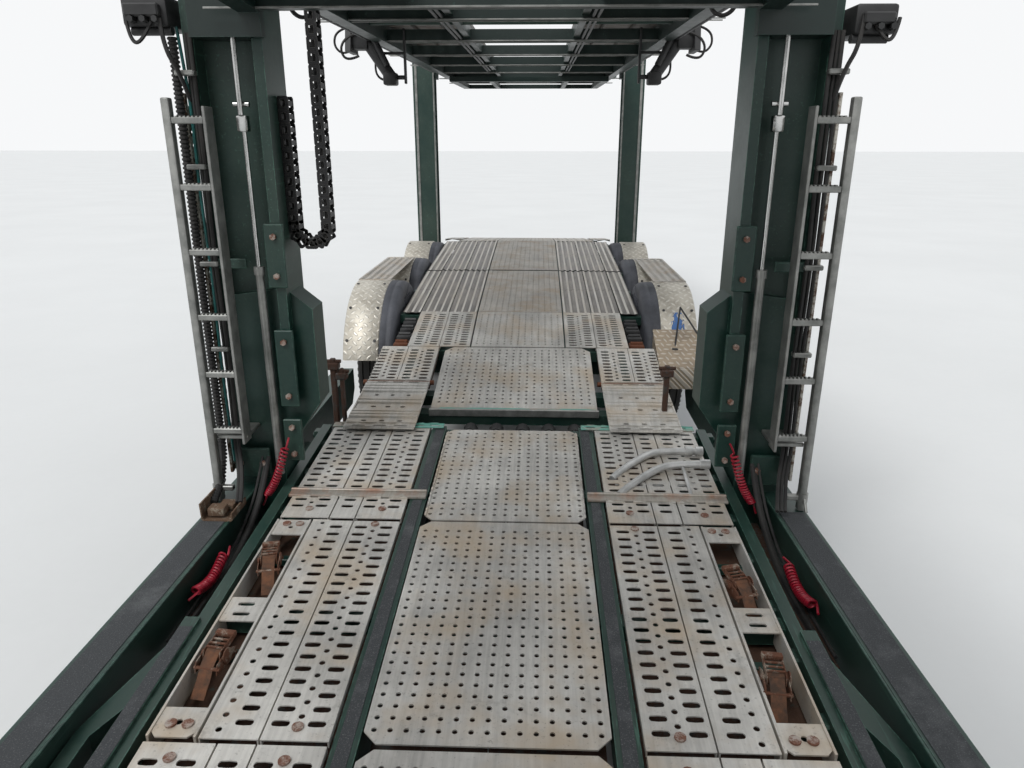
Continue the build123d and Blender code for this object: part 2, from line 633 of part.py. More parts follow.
with BuildPart() as engine:
    slab((-330, 330), (-7460, -6300), (560, 960))
    slab((-385, 385), (-7160, -7080), (660, 720))
    slab((-385, 385), (-6420, -6340), (660, 720))
save(engine.part, "engine")

with BuildPart() as fifth_wheel:
    with BuildSketch(Plane.XY.offset(coupling_height - 50)):
        with Locations((0, king_pin_y)):
            RegularPolygon(460, tread_sides, major_radius=False)
            with Locations((0, 330)):
                Rectangle(700, 700)
            Circle(27, mode=Mode.SUBTRACT)
            with BuildLine():
                Polyline((-27, 0), (27, 0), (160, 700), (-160, 700), close=True)
            make_face(mode=Mode.SUBTRACT)
    extrude(amount=50)
    both_sides([(king_pin_y - 200, 800), (king_pin_y + 200, 800), (king_pin_y + 120, 1010),
                (king_pin_y - 120, 1010)], 330, 385)
save(fifth_wheel.part, "fifth_wheel")

with BuildPart() as side_tanks:
    for side, sign in SIDES:
        for y_low, y_high, swell in ((-6200, -5200, 0), (-5960, -5910, 5), (-5490, -5440, 5)):
            section = [(480, 460), (520, 420), (1110, 420), (1180, 480), (1180, 580), (1120, 640), (480, 640)]
            cross_plate([(sign * (x + math.copysign(swell, x - 800)), z + math.copysign(swell, z - 530))
                         for x, z in section], y_low, y_high)
save(side_tanks.part, "side_tanks")

with BuildPart() as tractor_mudguards:
    for side, sign in SIDES:
        with BuildSketch(Plane.YZ.offset(out(sign, 600, 1245)[0])):
            with Locations((drive_axle_y, twin_wheel["radius"])):
                for radius, mode in ((535, Mode.ADD), (528, Mode.SUBTRACT)):
                    RegularPolygon(radius, tread_sides, major_radius=False, rotation=180 / tread_sides, mode=mode)
                with Locations((0, -400)):
                    Rectangle(1200, 900, mode=Mode.SUBTRACT)
        extrude(amount=645)
save(tractor_mudguards.part, "tractor_mudguards")

with BuildPart() as front_bumper:
    plan = [(-1220, -7560), (-1220, -8080), (-1080, nose_y + 30), (-700, nose_y), (700, nose_y), (1080, nose_y + 30),
            (1220, -8080), (1220, -7560), (1160, -7560), (1160, -8060), (1040, -8150), (-1040, -8150),
            (-1160, -8060), (-1160, -7560)]
    plan_plate(plan, 340, 700)
    slab((-465, 465), (-8160, nose_y + 130), (620, 680))
    slab((-380, 380), (nose_y + 25, -8150), (680, 700), mode=Mode.SUBTRACT)
    for side, sign in SIDES:
        for inset, depth, mode in ((0, 60, Mode.SUBTRACT), (10, 52, Mode.ADD)):
            plan = [(760 + inset, -8175), (760 + inset, nose_y + 60 - depth), (1000, nose_y + 60 - depth),
                    (1060 - inset, nose_y + 90 - depth), (1060 - inset, -8175)]
            plan_plate([(sign * x, y) for x, y in plan], 470 + inset, 610 - inset, mode)
        slab(out(sign, 1150, half_width), (-7920, -7640), (400, 520), mode=Mode.SUBTRACT)
        slab(out(sign, 1150, half_width), (-7920, -7640), (560, 670), mode=Mode.SUBTRACT)
        side_plate([(-8212, 675), (-8206, 732), (-8192, 745), (-8168, 745), (-8154, 732), (-8148, 675)],
                   *out(sign, 262, 294))
        round_bar(cab_hinge, out(sign, 262, 348), cab_pin)
save(front_bumper.part, "front_bumper")

# Cab
cab_half = 1225.0
cab_corner = 70.0
door_hinge_x = 1233.0
door_hinge_y = -7970.0
door_pin = 7.0
wall = 60.0
cab_outer = [(-8210, 760), (-8225, 1250), (-8135, 1950), (-7975, 2640), (-7865, 2720), (-6330, 2720), (-6220, 2610),
             (-6220, 1010), (-7500, 1010), (-7500, 760)]
cab_inner = [(-8150, 820), (-8163, 1250), (-8075, 1940), (-7920, 2615), (-7835, 2660), (-6355, 2660), (-6280, 2585),
             (-6280, 1070), (-7560, 1070), (-7560, 820)]
door_outline = [(-7965, 1040), (-6960, 1040), (-6960, 2440), (-7020, 2500), (-7880, 2500), (-7965, 2150)]
window = [(-7900, 1700), (-7030, 1700), (-7030, 2400), (-7060, 2430), (-7840, 2430), (-7900, 2160)]


def grown(points, gap):
    """The outline pushed out from its middle by a gap, for the opening around a door."""
    cy = (min(p[0] for p in points) + max(p[0] for p in points)) / 2
    cz = (min(p[1] for p in points) + max(p[1] for p in points)) / 2
    return [(y + math.copysign(gap, y - cy), z + math.copysign(gap, z - cz)) for y, z in points]


with BuildPart() as cab_shell:
    side_plate(cab_outer, -cab_half, cab_half)
    corners = cab_shell.edges().filter_by(Axis.X, reverse=True).filter_by(
        lambda edge: edge.center().Y < -6250 and (edge.center().Z > 1100 or edge.center().Y < -8000))
    chamfer(corners, length=cab_corner)
    side_plate(cab_inner, -cab_half + wall, cab_half - wall, mode=Mode.SUBTRACT)
    side_plate(grown(door_outline, 8), -cab_half - 10, cab_half + 10, mode=Mode.SUBTRACT)
    with BuildSketch(Plane.XZ.offset(7700)):
        with Locations((0, 2090)):
            RectangleRounded(2150, 820, 70)
    extrude(amount=700, mode=Mode.SUBTRACT)
    for side, sign in SIDES:
        side_plate([(-8204, 780), (-8201, 714), (-8188, 698), (-8172, 698), (-8159, 714), (-8156, 780)],
                   *out(sign, 300, 340))
        round_bar(cab_hinge, out(sign, 295, 345), cab_pin + pin_gap, mode=Mode.SUBTRACT)
        slab(out(sign, 960, 1210), (-6255, -6235), (560, 1030))
save(cab_shell.part, "cab_shell")

with BuildPart() as cab_glass:
    side_plate([(-8153, 1690), (-8120, 1950), (-7995, 2490), (-7987, 2490), (-8112, 1952), (-8145, 1690)],
               -1068, 1068)
    with BuildSketch(Plane.XZ.offset(7700)):
        with Locations((0, 2090)):
            RectangleRounded(2140, 810, 65)
    extrude(amount=700, mode=Mode.INTERSECT)
save(cab_glass.part, "cab_glass")

for side, sign in SIDES:
    with BuildPart() as door:
        x_low = cab_half - wall if sign > 0 else -cab_half
        side_plate(door_outline, x_low, x_low + wall)
        side_plate(window, x_low - 5, x_low + wall + 5, mode=Mode.SUBTRACT)
        for z_low in (1200, 1950):
            slab(out(sign, cab_half - 5, door_hinge_x + 5), (door_hinge_y, door_hinge_y + 60), (z_low, z_low + 90))
        with BuildSketch(Plane.XY.offset(1200)) as knuckle:
            with Locations((sign * door_hinge_x, door_hinge_y)):
                Circle(door_pin)
        extrude(knuckle.sketch, amount=840)
        slab(out(sign, cab_half - 5, cab_half + 22), (-7130, -7000), (1580, 1610))
    save(door.part, f"door_{side}")

with BuildPart() as cab_interior:
    side_plate([(-8130, 1100), (-7800, 1150), (-7750, 1450), (-7850, 1560), (-8110, 1560)], -1150, 1150)
    slab((-1165, 1165), (-8100, -8000), (1300, 1500))
    for x in (-600, 600):
        side_plate([(-7250, 1070), (-6750, 1070), (-6700, 1480), (-6600, 2150), (-6700, 2150), (-6800, 1480),
                    (-7250, 1480)], x - 240, x + 240)
save(cab_interior.part, "cab_interior")



def cab_front(z):
    """Front face of the cab at a height, up to the top of the grille."""
    return -8210 - 15 * (z - 760) / 490 if z < 1250 else -8225 + 90 * (z - 1250) / 700


# Cab trim: slatted grille, sun visor, and mirrors on two arms
grille_low = 884.0
grille_pitch = 64.0
grille_bars = 8
with BuildPart() as cab_trim:
    comb = []
    for index in range(grille_bars):
        z = grille_low + index * grille_pitch
        comb += [(cab_front(z) - 4, z), (cab_front(z) - 15, z + 8), (cab_front(z + 38) - 15, z + 38),
                 (cab_front(z + 46) - 4, z + 46)]
    back = [(cab_front(z) - 0.5, z) for z in (comb[-1][1], 1250, grille_low)]
    side_plate(comb + back, -900, 900)
    side_plate([(-7989.5, 2580), (-8150, 2500), (-8155, 2480), (-7995.5, 2555)], -1000, 1000)
    for side, sign in SIDES:
        head = [(1300, -8010), (1468, -8010), (1480, -8030), (1462, -8085), (1430, -8096), (1330, -8092),
                (1296, -8050)]
        plan_plate([(sign * x, y) for x, y in head], 1690, 2260)
        slab(out(sign, 1290, 1490), (-8016, -8000), (1880, 1895), mode=Mode.SUBTRACT)
        for z in (1760, 1990):
            slab(out(sign, cab_half, 1330), (-8050, -8020), (z, z + 30))
save(cab_trim.part, "cab_trim")
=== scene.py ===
import math
import bpy
from mathutils import Matrix, Vector


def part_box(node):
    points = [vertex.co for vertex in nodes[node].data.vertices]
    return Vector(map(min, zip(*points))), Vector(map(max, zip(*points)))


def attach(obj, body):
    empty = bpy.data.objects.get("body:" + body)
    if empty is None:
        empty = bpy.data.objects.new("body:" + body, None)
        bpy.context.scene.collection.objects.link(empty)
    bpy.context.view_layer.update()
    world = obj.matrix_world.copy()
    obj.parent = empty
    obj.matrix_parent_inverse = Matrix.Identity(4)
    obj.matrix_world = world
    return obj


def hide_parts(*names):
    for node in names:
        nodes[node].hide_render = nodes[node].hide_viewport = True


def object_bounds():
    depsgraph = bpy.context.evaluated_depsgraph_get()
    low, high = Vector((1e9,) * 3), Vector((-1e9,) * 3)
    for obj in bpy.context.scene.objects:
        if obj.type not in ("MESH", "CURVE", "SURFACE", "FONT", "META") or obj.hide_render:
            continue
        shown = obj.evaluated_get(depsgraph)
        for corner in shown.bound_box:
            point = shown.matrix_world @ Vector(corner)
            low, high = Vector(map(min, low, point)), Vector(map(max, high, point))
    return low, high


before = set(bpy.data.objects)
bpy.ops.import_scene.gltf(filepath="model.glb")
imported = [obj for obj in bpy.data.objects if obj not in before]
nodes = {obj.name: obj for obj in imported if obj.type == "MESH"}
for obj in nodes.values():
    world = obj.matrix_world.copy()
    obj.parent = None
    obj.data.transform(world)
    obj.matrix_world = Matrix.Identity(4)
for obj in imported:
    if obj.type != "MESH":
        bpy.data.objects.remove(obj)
cad_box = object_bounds()
SIDES = (("left", -1), ("right", 1))

# Deck lines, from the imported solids
(_, low_front_y, _), (_, low_rear_y, _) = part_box("low_deck_frame")
LOW_SLOPE = 0.0627
LOW_FRONT_Z = 0.438
MID_LINE = [(1.455, 0.655), (2.215, 0.804), (2.835, 0.895), (4.085, 0.99), (5.535, 1.062), (7.0, 0.915),
    (8.085, 0.76)]
FLAP_LINE = [(1.15, 0.662), (1.44, 0.687), (1.715, 0.722), (1.753, 0.722)]
tail_y = cad_box[1][1]


def low_z(y):
    """Top of the low deck's beams."""
    return LOW_FRONT_Z + LOW_SLOPE * (y - low_front_y)


def height_on(line, y):
    """Height at y on a line of (y, z) points, level past its end."""
    for (y_a, z_a), (y_b, z_b) in zip(line, line[1:]):
        if y <= y_b:
            return z_a + (z_b - z_a) * (y - y_a) / (y_b - y_a)
    return line[-1][1]


def mid_z(y):
    """Top of the middle and rear deck."""
    return height_on(MID_LINE, y)


def flap_z(y):
    """Top of the bridging flaps."""
    return height_on(FLAP_LINE, y)


# Shader maths

def step(operation, swapped=False):
    """A method of Value that adds one Math node."""
    def add_node(self, *others):
        inputs = (*others, self) if swapped else (self, *others)
        return self.finish.node("ShaderNodeMath", {"operation": operation}, dict(enumerate(inputs)))
    return add_node


class Value:
    """One output of a finish's node tree. Arithmetic on it adds Math nodes."""

    def __init__(self, finish, socket):
        self.finish = finish
        self.socket = socket

    __add__ = step("ADD")
    __radd__ = step("ADD", True)
    __sub__ = step("SUBTRACT")
    __rsub__ = step("SUBTRACT", True)
    __mul__ = step("MULTIPLY")
    __truediv__ = step("DIVIDE")
    __gt__ = step("GREATER_THAN")
    __mod__ = step("FLOORED_MODULO")
    __pow__ = step("POWER")
    absolute = step("ABSOLUTE")
    sine = step("SINE")
    whole = step("FLOOR")
    turn_from = step("ARCTAN2")
    largest = step("MAXIMUM")
    smallest = step("MINIMUM")


def tone(value):
    """A Value as it is, or a screen colour, 0 to 255, as the linear one that a shader takes."""
    if isinstance(value, Value):
        return value
    return (*(c / 3294.6 if c <= 10 else ((c / 255 + 0.055) / 1.055) ** 2.4 for c in value), 1.0)


class Finish:
    """One procedural material on Object coordinates."""

    def __init__(self, name, roughness=0.5, metallic=0.0, coat=0.0):
        self.material = bpy.data.materials.new(name)
        self.material.use_nodes = True
        self.tree = self.material.node_tree
        self.shader = self.tree.nodes["Principled BSDF"]
        self.feed("Roughness", roughness)
        self.feed("Metallic", metallic)
        self.feed("Coat Weight", coat)
        self.place = self.node("ShaderNodeTexCoord", {}, {}, "Object")
        self.parts = {}

    def set_input(self, socket, value):
        if isinstance(value, Value):
            self.tree.links.new(value.socket, socket)
        else:
            socket.default_value = value

    def node(self, kind, settings, inputs, output=0):
        """Adds a node, sets its settings, feeds its sockets and gives back one output."""
        made = self.tree.nodes.new(kind)
        for key, value in settings.items():
            setattr(made, key, value)
        for key, value in inputs.items():
            self.set_input(made.inputs[key], value)
        return Value(self, made.outputs[output])

    def feed(self, name, value):
        """Gives one of the shader's own inputs its value."""
        self.set_input(self.shader.inputs[name], value)

    def axis(self, letter):
        """Object coordinate x, y or z, in metres."""
        if letter not in self.parts:
            self.parts[letter] = self.node("ShaderNodeSeparateXYZ", {}, {0: self.place}, letter.upper())
        return self.parts[letter]

    def noise(self, scale, detail=3.0, rough=0.55, stretch=(1.0, 1.0, 1.0), seed=0.0):
        where = self.node("ShaderNodeMapping", {}, {0: self.place, 1: (seed, seed * 0.7, seed * 1.3),
            3: stretch})
        settings = {"Vector": where, "Scale": scale, "Detail": detail, "Roughness": rough}
        return self.node("ShaderNodeTexNoise", {}, settings)

    def ramp(self, value, low, high):
        """0 at or below low, 1 at or above high, straight between."""
        return self.node("ShaderNodeMapRange", {"clamp": True}, {0: value, 1: low, 2: high, 3: 0.0, 4: 1.0})

    def mix(self, amount, first, second):
        """Colour between first and second."""
        return self.node("ShaderNodeMix", {"data_type": "RGBA"}, {0: amount, 6: tone(first),
            7: tone(second)}, 2)

    def edges(self, radius):
        """1 on sharp edges, 0 on flat faces."""
        soft = self.node("ShaderNodeBevel", {"samples": 4}, {"Radius": radius})
        hard = self.node("ShaderNodeNewGeometry", {}, {}, "Normal")
        turn = self.node("ShaderNodeVectorMath", {"operation": "DOT_PRODUCT"}, {0: soft, 1: hard}, "Value")
        return self.ramp(1.0 - turn, 0.02, 0.18)

    def done(self, colour, rough=None, bump=None, depth=0.0):
        """Sets colour and roughness, raises the surface depth metres where bump is 1. Gives the material."""
        self.feed("Base Color", tone(colour))
        if rough is not None:
            self.feed("Roughness", rough)
        if bump is not None:
            normal = self.node("ShaderNodeBump", {}, {"Strength": 1.0, "Distance": depth, "Height": bump})
            self.feed("Normal", normal)
        return self.material


def worn_paint(name, base, scuff, dust):
    """Paint with scuffed edges, long scratches, rubbed patches and road dust."""
    gloss = 0.38
    paint = Finish(name, gloss)
    broad = paint.noise(1.7, 4.0, 0.6)
    fine = paint.noise(38.0, 3.0, 0.7)
    scratches = paint.ramp(paint.noise(14.0, 2.0, 0.5, (6.0, 0.35, 6.0)), 0.62, 0.72)
    edge = paint.edges(0.006) * paint.ramp(fine, 0.38, 0.62)
    rubbed = (edge * 0.8).largest(scratches * paint.ramp(broad, 0.45, 0.7) * 0.45)
    dusty = paint.ramp(broad + fine * 0.35, 0.55, 0.95) * 0.5
    colour = paint.mix(rubbed, paint.mix(dusty, base, dust), scuff)
    return paint.done(colour, gloss + dusty * 0.4 + rubbed * 0.12, fine * 0.4 + scratches * -0.6, 0.0004)


def worn_plate(name, bright, dull, stain, scale=1.0):
    """Rolled metal plate: mottled grey, tan stains, drag marks along the deck and small pits."""
    plate = Finish(name, 0.45, 0.35)
    patch = plate.noise(2.3 * scale, 5.0, 0.65)
    speck = plate.noise(95.0, 2.0, 0.6)
    drag = plate.noise(22.0, 3.0, 0.6, (3.2, 0.16, 1.0), 3.0)
    tan = plate.ramp(plate.noise(3.4 * scale, 4.0, 0.6, seed=7.0), 0.47, 0.68)
    grime = plate.ramp(plate.noise(7.0, 5.0, 0.75, seed=11.0), 0.6, 0.78)
    colour = plate.mix(plate.ramp(patch + drag * 0.45, 0.45, 0.95), dull, bright)
    colour = plate.mix(tan * 0.75, colour, stain)
    colour = plate.mix(grime * 0.6, colour, (105, 100, 95))
    colour = plate.mix(plate.ramp(speck, 0.62, 0.75) * 0.4, colour, (90, 86, 82))
    return plate.done(colour, 0.34 + patch * 0.3 + tan * 0.12, speck * 0.5 + drag * 0.5, 0.0005)


def rough_strip(name, base, fleck):
    """Anti-slip tape: dark grit with pale worn flecks."""
    tape = Finish(name, 0.92)
    where = tape.node("ShaderNodeMapping", {}, {0: tape.place, 3: (1.0, 1.0, 1.0)})
    grit = tape.node("ShaderNodeTexVoronoi", {}, {"Vector": where, "Scale": 900.0}, "Distance")
    worn = tape.ramp(tape.noise(6.0, 4.0, 0.7), 0.52, 0.75)
    flecks = tape.ramp(tape.noise(240.0, 2.0, 0.6), 0.56, 0.7)
    return tape.done(tape.mix(flecks * 0.5 + worn * 0.35, base, fleck), None, grit, 0.001)


def chequer(name, across, along, bright, dull, pitch=0.042):
    """Tread plate: short raised bars, each square of the grid turned the other way."""
    plate = Finish(name, 0.33, 0.55)
    u = across(plate) / pitch
    v = along(plate) / pitch
    odd = ((u.whole() + v.whole()) % 2.0) > 0.5
    a = (u % 1.0) - 0.5
    b = (v % 1.0) - 0.5
    long_way = odd * a + (1.0 - odd) * b
    short_way = odd * b + (1.0 - odd) * a
    narrowing = (long_way * 2.1).absolute() ** 2.0 * 0.16
    bar = plate.ramp(narrowing + short_way.absolute(), 0.2, 0.1)
    grime = plate.ramp(plate.noise(9.0, 5.0, 0.7, seed=4.0), 0.5, 0.75)
    base = plate.mix(plate.ramp(plate.noise(2.4, 5.0, 0.65), 0.35, 0.7), dull, bright)
    base = plate.mix(grime * (1.0 - bar) * 0.5, base, (120, 112, 102))
    # The raised bars get a painted highlight, lighter than the plate around them.
    return plate.done(plate.mix(bar * 0.35, base, (240, 238, 230)), 0.5 + grime * 0.2 - bar * 0.08, bar,
        0.0022)


def plain(name, base, other, roughness, metallic=0.0, scale=6.0, depth=0.0003, coat=0.0):
    """A quiet finish: two near tones in soft patches and a fine grain."""
    quiet = Finish(name, roughness, metallic, coat)
    patch = quiet.noise(scale, 4.0, 0.6)
    grain = quiet.noise(scale * 40.0, 2.0, 0.6)
    colour = quiet.mix(quiet.ramp(patch + grain * 0.2, 0.42, 0.75), base, other)
    return quiet.done(colour, roughness - 0.06 + patch * 0.16, grain, depth)


def rusty(name, rust_tone, bare, amount=0.5):
    """Rust over worn steel."""
    steel = Finish(name, 0.7, 0.2)
    patch = steel.noise(24.0, 5.0, 0.7)
    fine = steel.noise(210.0, 3.0, 0.7)
    mask = steel.ramp(patch + fine * 0.3, 1.0 - amount, 1.15 - amount)
    colour = steel.mix(mask, bare, steel.mix(fine, rust_tone, (70, 45, 36)))
    return steel.done(colour, 0.45 + mask * 0.4, fine, 0.0006)


def ribbed_metal():
    """Painted highlight on the rib tops and painted shade in the valleys between them, on the pitch of the
    modelled ribs.
    """
    plate = Finish("ribbed_slat", 0.42, 0.35)
    rib_pitch = 0.051
    first_rib = 0.31
    place = ((plate.axis("x").absolute() - first_rib) % rib_pitch) / rib_pitch
    top = plate.ramp((place - 0.18).absolute(), 0.2, 0.14)
    wear = plate.noise(9.0, 4.0, 0.65, (1.0, 0.25, 1.0))
    speck = plate.noise(120.0, 2.0, 0.6)
    # dark is the painted shade in the valleys, light the painted highlight on the rib tops; wear and specks
    # are the metal's own.
    dark = plate.mix(plate.ramp(wear, 0.4, 0.7), (104, 100, 96), (142, 136, 128))
    light = plate.mix(plate.ramp(wear, 0.4, 0.7), (206, 202, 194), (178, 170, 158))
    colour = plate.mix(plate.ramp(speck, 0.6, 0.75) * 0.35, plate.mix(top, dark, light), (84, 80, 76))
    return plate.done(colour, None, speck * 0.4 + top, 0.0012)


# Dark green paint; its base tone is made darker still, painted shade for the shade that falls on the posts.
green = worn_paint("deck_green", (15, 48, 41), (96, 142, 124), (70, 82, 72))
# A darker copy of the green for the upper frames: painted shade, for the shade under the upper decks.
shade_green = worn_paint("upper_green", (9, 30, 26), (62, 92, 82), (36, 44, 40))
plate_metal = worn_plate("deck_plate", (216, 213, 206), (150, 147, 142), (186, 168, 144))
bar_metal = worn_plate("cross_bar_metal", (178, 172, 162), (122, 118, 110), (156, 104, 74), 2.0)
far_plate_metal = worn_plate("slat_plate", (190, 185, 176), (142, 137, 130), (168, 152, 132), 1.6)
# Plate for the upper decks in darker tones: painted shade, for the shade on the decks' undersides.
deck_shade = worn_plate("upper_deck_plate_painted_shade", (104, 98, 92), (62, 58, 54), (78, 62, 50), 1.4)
rib_plate = ribbed_metal()
grip_tape = rough_strip("grip_tape", (64, 66, 68), (128, 130, 130))
galvanised = plain("galvanised_steel", (120, 121, 118), (158, 158, 154), 0.42, 0.7, 14.0)
guard_plastic = plain("guard_plastic", (46, 48, 54), (82, 84, 90), 0.62, 0.0, 5.0)
dark_steel = rusty("dark_steel", (84, 64, 52), (66, 68, 66))
black_plastic = plain("black_plastic", (22, 22, 23), (44, 44, 44), 0.5, 0.0, 9.0)
black_rubber = plain("black_rubber", (24, 24, 25), (52, 50, 48), 0.72, 0.0, 8.0)
bright_steel = plain("polished_rod", (205, 205, 203), (176, 176, 174), 0.18, 1.0, 8.0, 0.0001)
rust = rusty("rusty_steel", (128, 76, 48), (150, 138, 124), 0.62)
stained_bolt = rusty("stained_bolt", (150, 104, 84), (168, 156, 146), 0.45)
ratchet_steel = rusty("ratchet_steel", (120, 76, 52), (150, 140, 126))
tan_steel = rusty("tan_steel", (126, 104, 82), (150, 140, 124))
belly_steel = rusty("belly_steel", (96, 74, 58), (60, 66, 60), 0.55)
strip_metal = rusty("lift_strip", (122, 96, 76), (196, 192, 182), 0.42)
belt_cloth = plain("belt_cloth", (118, 78, 54), (72, 56, 46), 0.9, 0.0, 30.0, 0.0012)
tool_paint = plain("tool_zinc", (214, 214, 212), (178, 178, 176), 0.35, 0.55, 12.0)
coil_red = plain("coil_red", (170, 26, 48), (128, 20, 38), 0.35, 0.0, 30.0)
teal = plain("teal_cable", (36, 108, 104), (24, 78, 76), 0.45, 0.0, 20.0)
sill_black = plain("frame_black", (34, 35, 36), (66, 64, 60), 0.6, 0.0, 5.0)
tyre_black = plain("tyre_rubber", (30, 30, 31), (58, 56, 53), 0.85, 0.0, 7.0, 0.0005)
wheel_grey = plain("wheel_paint", (176, 178, 180), (132, 130, 126), 0.4, 0.5)
engine_cast = plain("cast_block", (96, 98, 100), (66, 66, 66), 0.6, 0.3, 9.0)
tank_metal = plain("tank_metal", (196, 197, 199), (168, 168, 170), 0.25, 0.85, 3.0)
cab_white = plain("cab_paint", (214, 216, 214), (196, 198, 196), 0.25, 0.0, 2.0, 0.0001, 0.6)
seat_cloth = plain("seat_cloth", (62, 66, 74), (84, 88, 96), 0.95, 0.0, 26.0, 0.0012)
chain_black = plain("chain_link", (26, 26, 27), (52, 50, 48), 0.48, 0.0, 12.0)
amber = plain("amber_lens", (226, 120, 22), (200, 96, 16), 0.15, 0.0, 60.0, 0.0004, 0.6)
red_lens = plain("red_lens", (176, 20, 18), (140, 14, 14), 0.15, 0.0, 60.0, 0.0004, 0.6)
white_lens = plain("white_lens", (226, 226, 222), (206, 206, 202), 0.15, 0.0, 60.0, 0.0004, 0.6)
mirror_glass = plain("mirror_glass", (200, 206, 210), (188, 194, 198), 0.03, 1.0, 3.0, 0.0)
plate_white = plain("blank_plate", (226, 224, 214), (212, 210, 200), 0.4, 0.0, 12.0)


def tinted_glass():
    glass = Finish("windscreen_glass", 0.04)
    glass.feed("Transmission Weight", 0.0)
    glass.feed("Alpha", 0.35)
    return glass.done((60, 78, 76))


def lamp_glass():
    """Clear lens with fine upright flutes, painted as light and dark stripes: painted highlight along the
    flutes.
    """
    glass = Finish("lamp_glass", 0.06, 0.2, 0.8)
    flutes = (glass.axis("x") * 140.0).sine() * 0.5 + 0.5
    return glass.done(glass.mix(flutes, (196, 202, 206), (232, 236, 238)), None, flutes, 0.0006)


def torn_smear():
    """Blue paint left on the arch, torn at its edges."""
    paint = Finish("blue_smear", 0.4)
    paint.feed("Alpha", paint.ramp(paint.noise(26.0, 4.0, 0.7, (1.0, 0.4, 0.4)), 0.47, 0.52))
    return paint.done((70, 112, 170))


def flaking_turquoise():
    """Turquoise paint flaking off rubbed grey metal."""
    paint = Finish("scuffed_turquoise", 0.5)
    flaking = paint.ramp(paint.noise(9.0, 5.0, 0.7, (0.35, 1.0, 1.0)), 0.46, 0.54)
    rubs = paint.noise(60.0, 3.0, 0.7, (0.3, 1.0, 1.0))
    bare = paint.mix(rubs, (188, 180, 168), (120, 108, 96))
    colour = paint.mix(flaking, bare, paint.mix(rubs, (128, 186, 172), (62, 128, 112)))
    return paint.done(colour, None, flaking + rubs, 0.0012)


def worn_chain():
    """Black plastic, grey where its edges rub."""
    plastic = Finish("worn_chain", 0.5)
    colour = plastic.mix(plastic.edges(0.004) * 0.75, (24, 24, 26), (98, 94, 88))
    return plastic.done(colour, None, plastic.noise(160.0), 0.0003)


# Modelling helpers

def clear_selection():
    bpy.ops.object.select_all(action="DESELECT")


def take(obj):
    """Makes one object the selected and active one."""
    clear_selection()
    obj.select_set(True)
    bpy.context.view_layer.objects.active = obj


def select_all():
    bpy.ops.mesh.select_all(action="SELECT")


def edit(select_mode="VERT"):
    """Opens the active object in edit mode, everything selected."""
    bpy.ops.object.mode_set(mode="EDIT")
    bpy.ops.mesh.select_mode(type=select_mode)
    select_all()


def close():
    bpy.ops.object.mode_set(mode="OBJECT")


def pick(test):
    """In edit mode, selects exactly the vertices whose place passes the test."""
    close()
    mesh = bpy.context.object.data
    for group in (mesh.polygons, mesh.edges):
        group.foreach_set("select", [False] * len(group))
    mesh.vertices.foreach_set("select", [bool(test(v.co)) for v in mesh.vertices])
    bpy.ops.object.mode_set(mode="EDIT")


def extrude(move):
    bpy.ops.mesh.extrude_region_move(TRANSFORM_OT_translate={"value": move})


def face_outward():
    select_all()
    bpy.ops.mesh.normals_make_consistent(inside=False)


def apply_place(obj):
    take(obj)
    bpy.ops.object.transform_apply(location=True, rotation=True, scale=True)


def add_modifier(obj, kind, **settings):
    """Adds a modifier and applies it at once."""
    bpy.context.view_layer.objects.active = obj
    made = obj.modifiers.new(kind.lower(), kind)
    for key, value in settings.items():
        setattr(made, key, value)
    bpy.ops.object.modifier_apply(modifier=made.name)


def cut_away(obj, cutter):
    add_modifier(obj, "BOOLEAN", object=cutter, operation="DIFFERENCE", solver="EXACT")
    bpy.data.objects.remove(cutter)


def moved(obj, *step_matrices):
    """Moves the mesh by a place, or by matrices one after the other."""
    for move in step_matrices:
        obj.data.transform(move if isinstance(move, Matrix) else Matrix.Translation(move))
    return obj


def block(low, high, edge=0.003, segments=1):
    """A bar between two corners with broken edges."""
    clear_selection()
    bpy.ops.mesh.primitive_cube_add(size=1, location=[(a + b) / 2 for a, b in zip(low, high)])
    obj = bpy.context.object
    obj.scale = [abs(b - a) for a, b in zip(low, high)]
    apply_place(obj)
    if edge:
        edit()
        bpy.ops.mesh.bevel(offset=edge, segments=segments, affect="EDGES")
        close()
    return obj


def blocks(*rows):
    """Several blocks, each row as block takes it."""
    return [block(*row) for row in rows]


def round_bar(start, end, radius, sides=12, edge=0.0):
    """A straight round bar between two points."""
    clear_selection()
    start, end = Vector(start), Vector(end)
    way = end - start
    bpy.ops.mesh.primitive_cylinder_add(vertices=sides, radius=radius, depth=way.length)
    obj = bpy.context.object
    if edge:
        edit("EDGE")
        pick(lambda co: abs(abs(co.z) - way.length / 2) < 1e-6)
        bpy.ops.mesh.bevel(offset=edge, segments=1, affect="EDGES")
        close()
    obj.rotation_mode = "QUATERNION"
    obj.rotation_quaternion = way.to_track_quat("Z", "Y")
    obj.location = (start + end) / 2
    apply_place(obj)
    return obj


def bars(*rows):
    """Several round bars, each row as round_bar takes it."""
    return [round_bar(*row) for row in rows]


def pipe(points, radius, sides=8):
    """A bent pipe along a smooth line through the points, as a mesh."""
    clear_selection()
    curve = bpy.data.curves.new("pipe", "CURVE")
    curve.dimensions = "3D"
    curve.bevel_depth = radius
    curve.bevel_resolution = max(1, sides // 4 - 1)
    curve.resolution_u = 6
    curve.use_fill_caps = True
    line = curve.splines.new("NURBS")
    line.points.add(len(points) - 1)
    for point, place in zip(line.points, points):
        point.co = (*place, 1.0)
    line.order_u = 3
    line.use_endpoint_u = True
    obj = bpy.data.objects.new("pipe", curve)
    bpy.context.collection.objects.link(obj)
    take(obj)
    bpy.ops.object.convert(target="MESH")
    return bpy.context.object


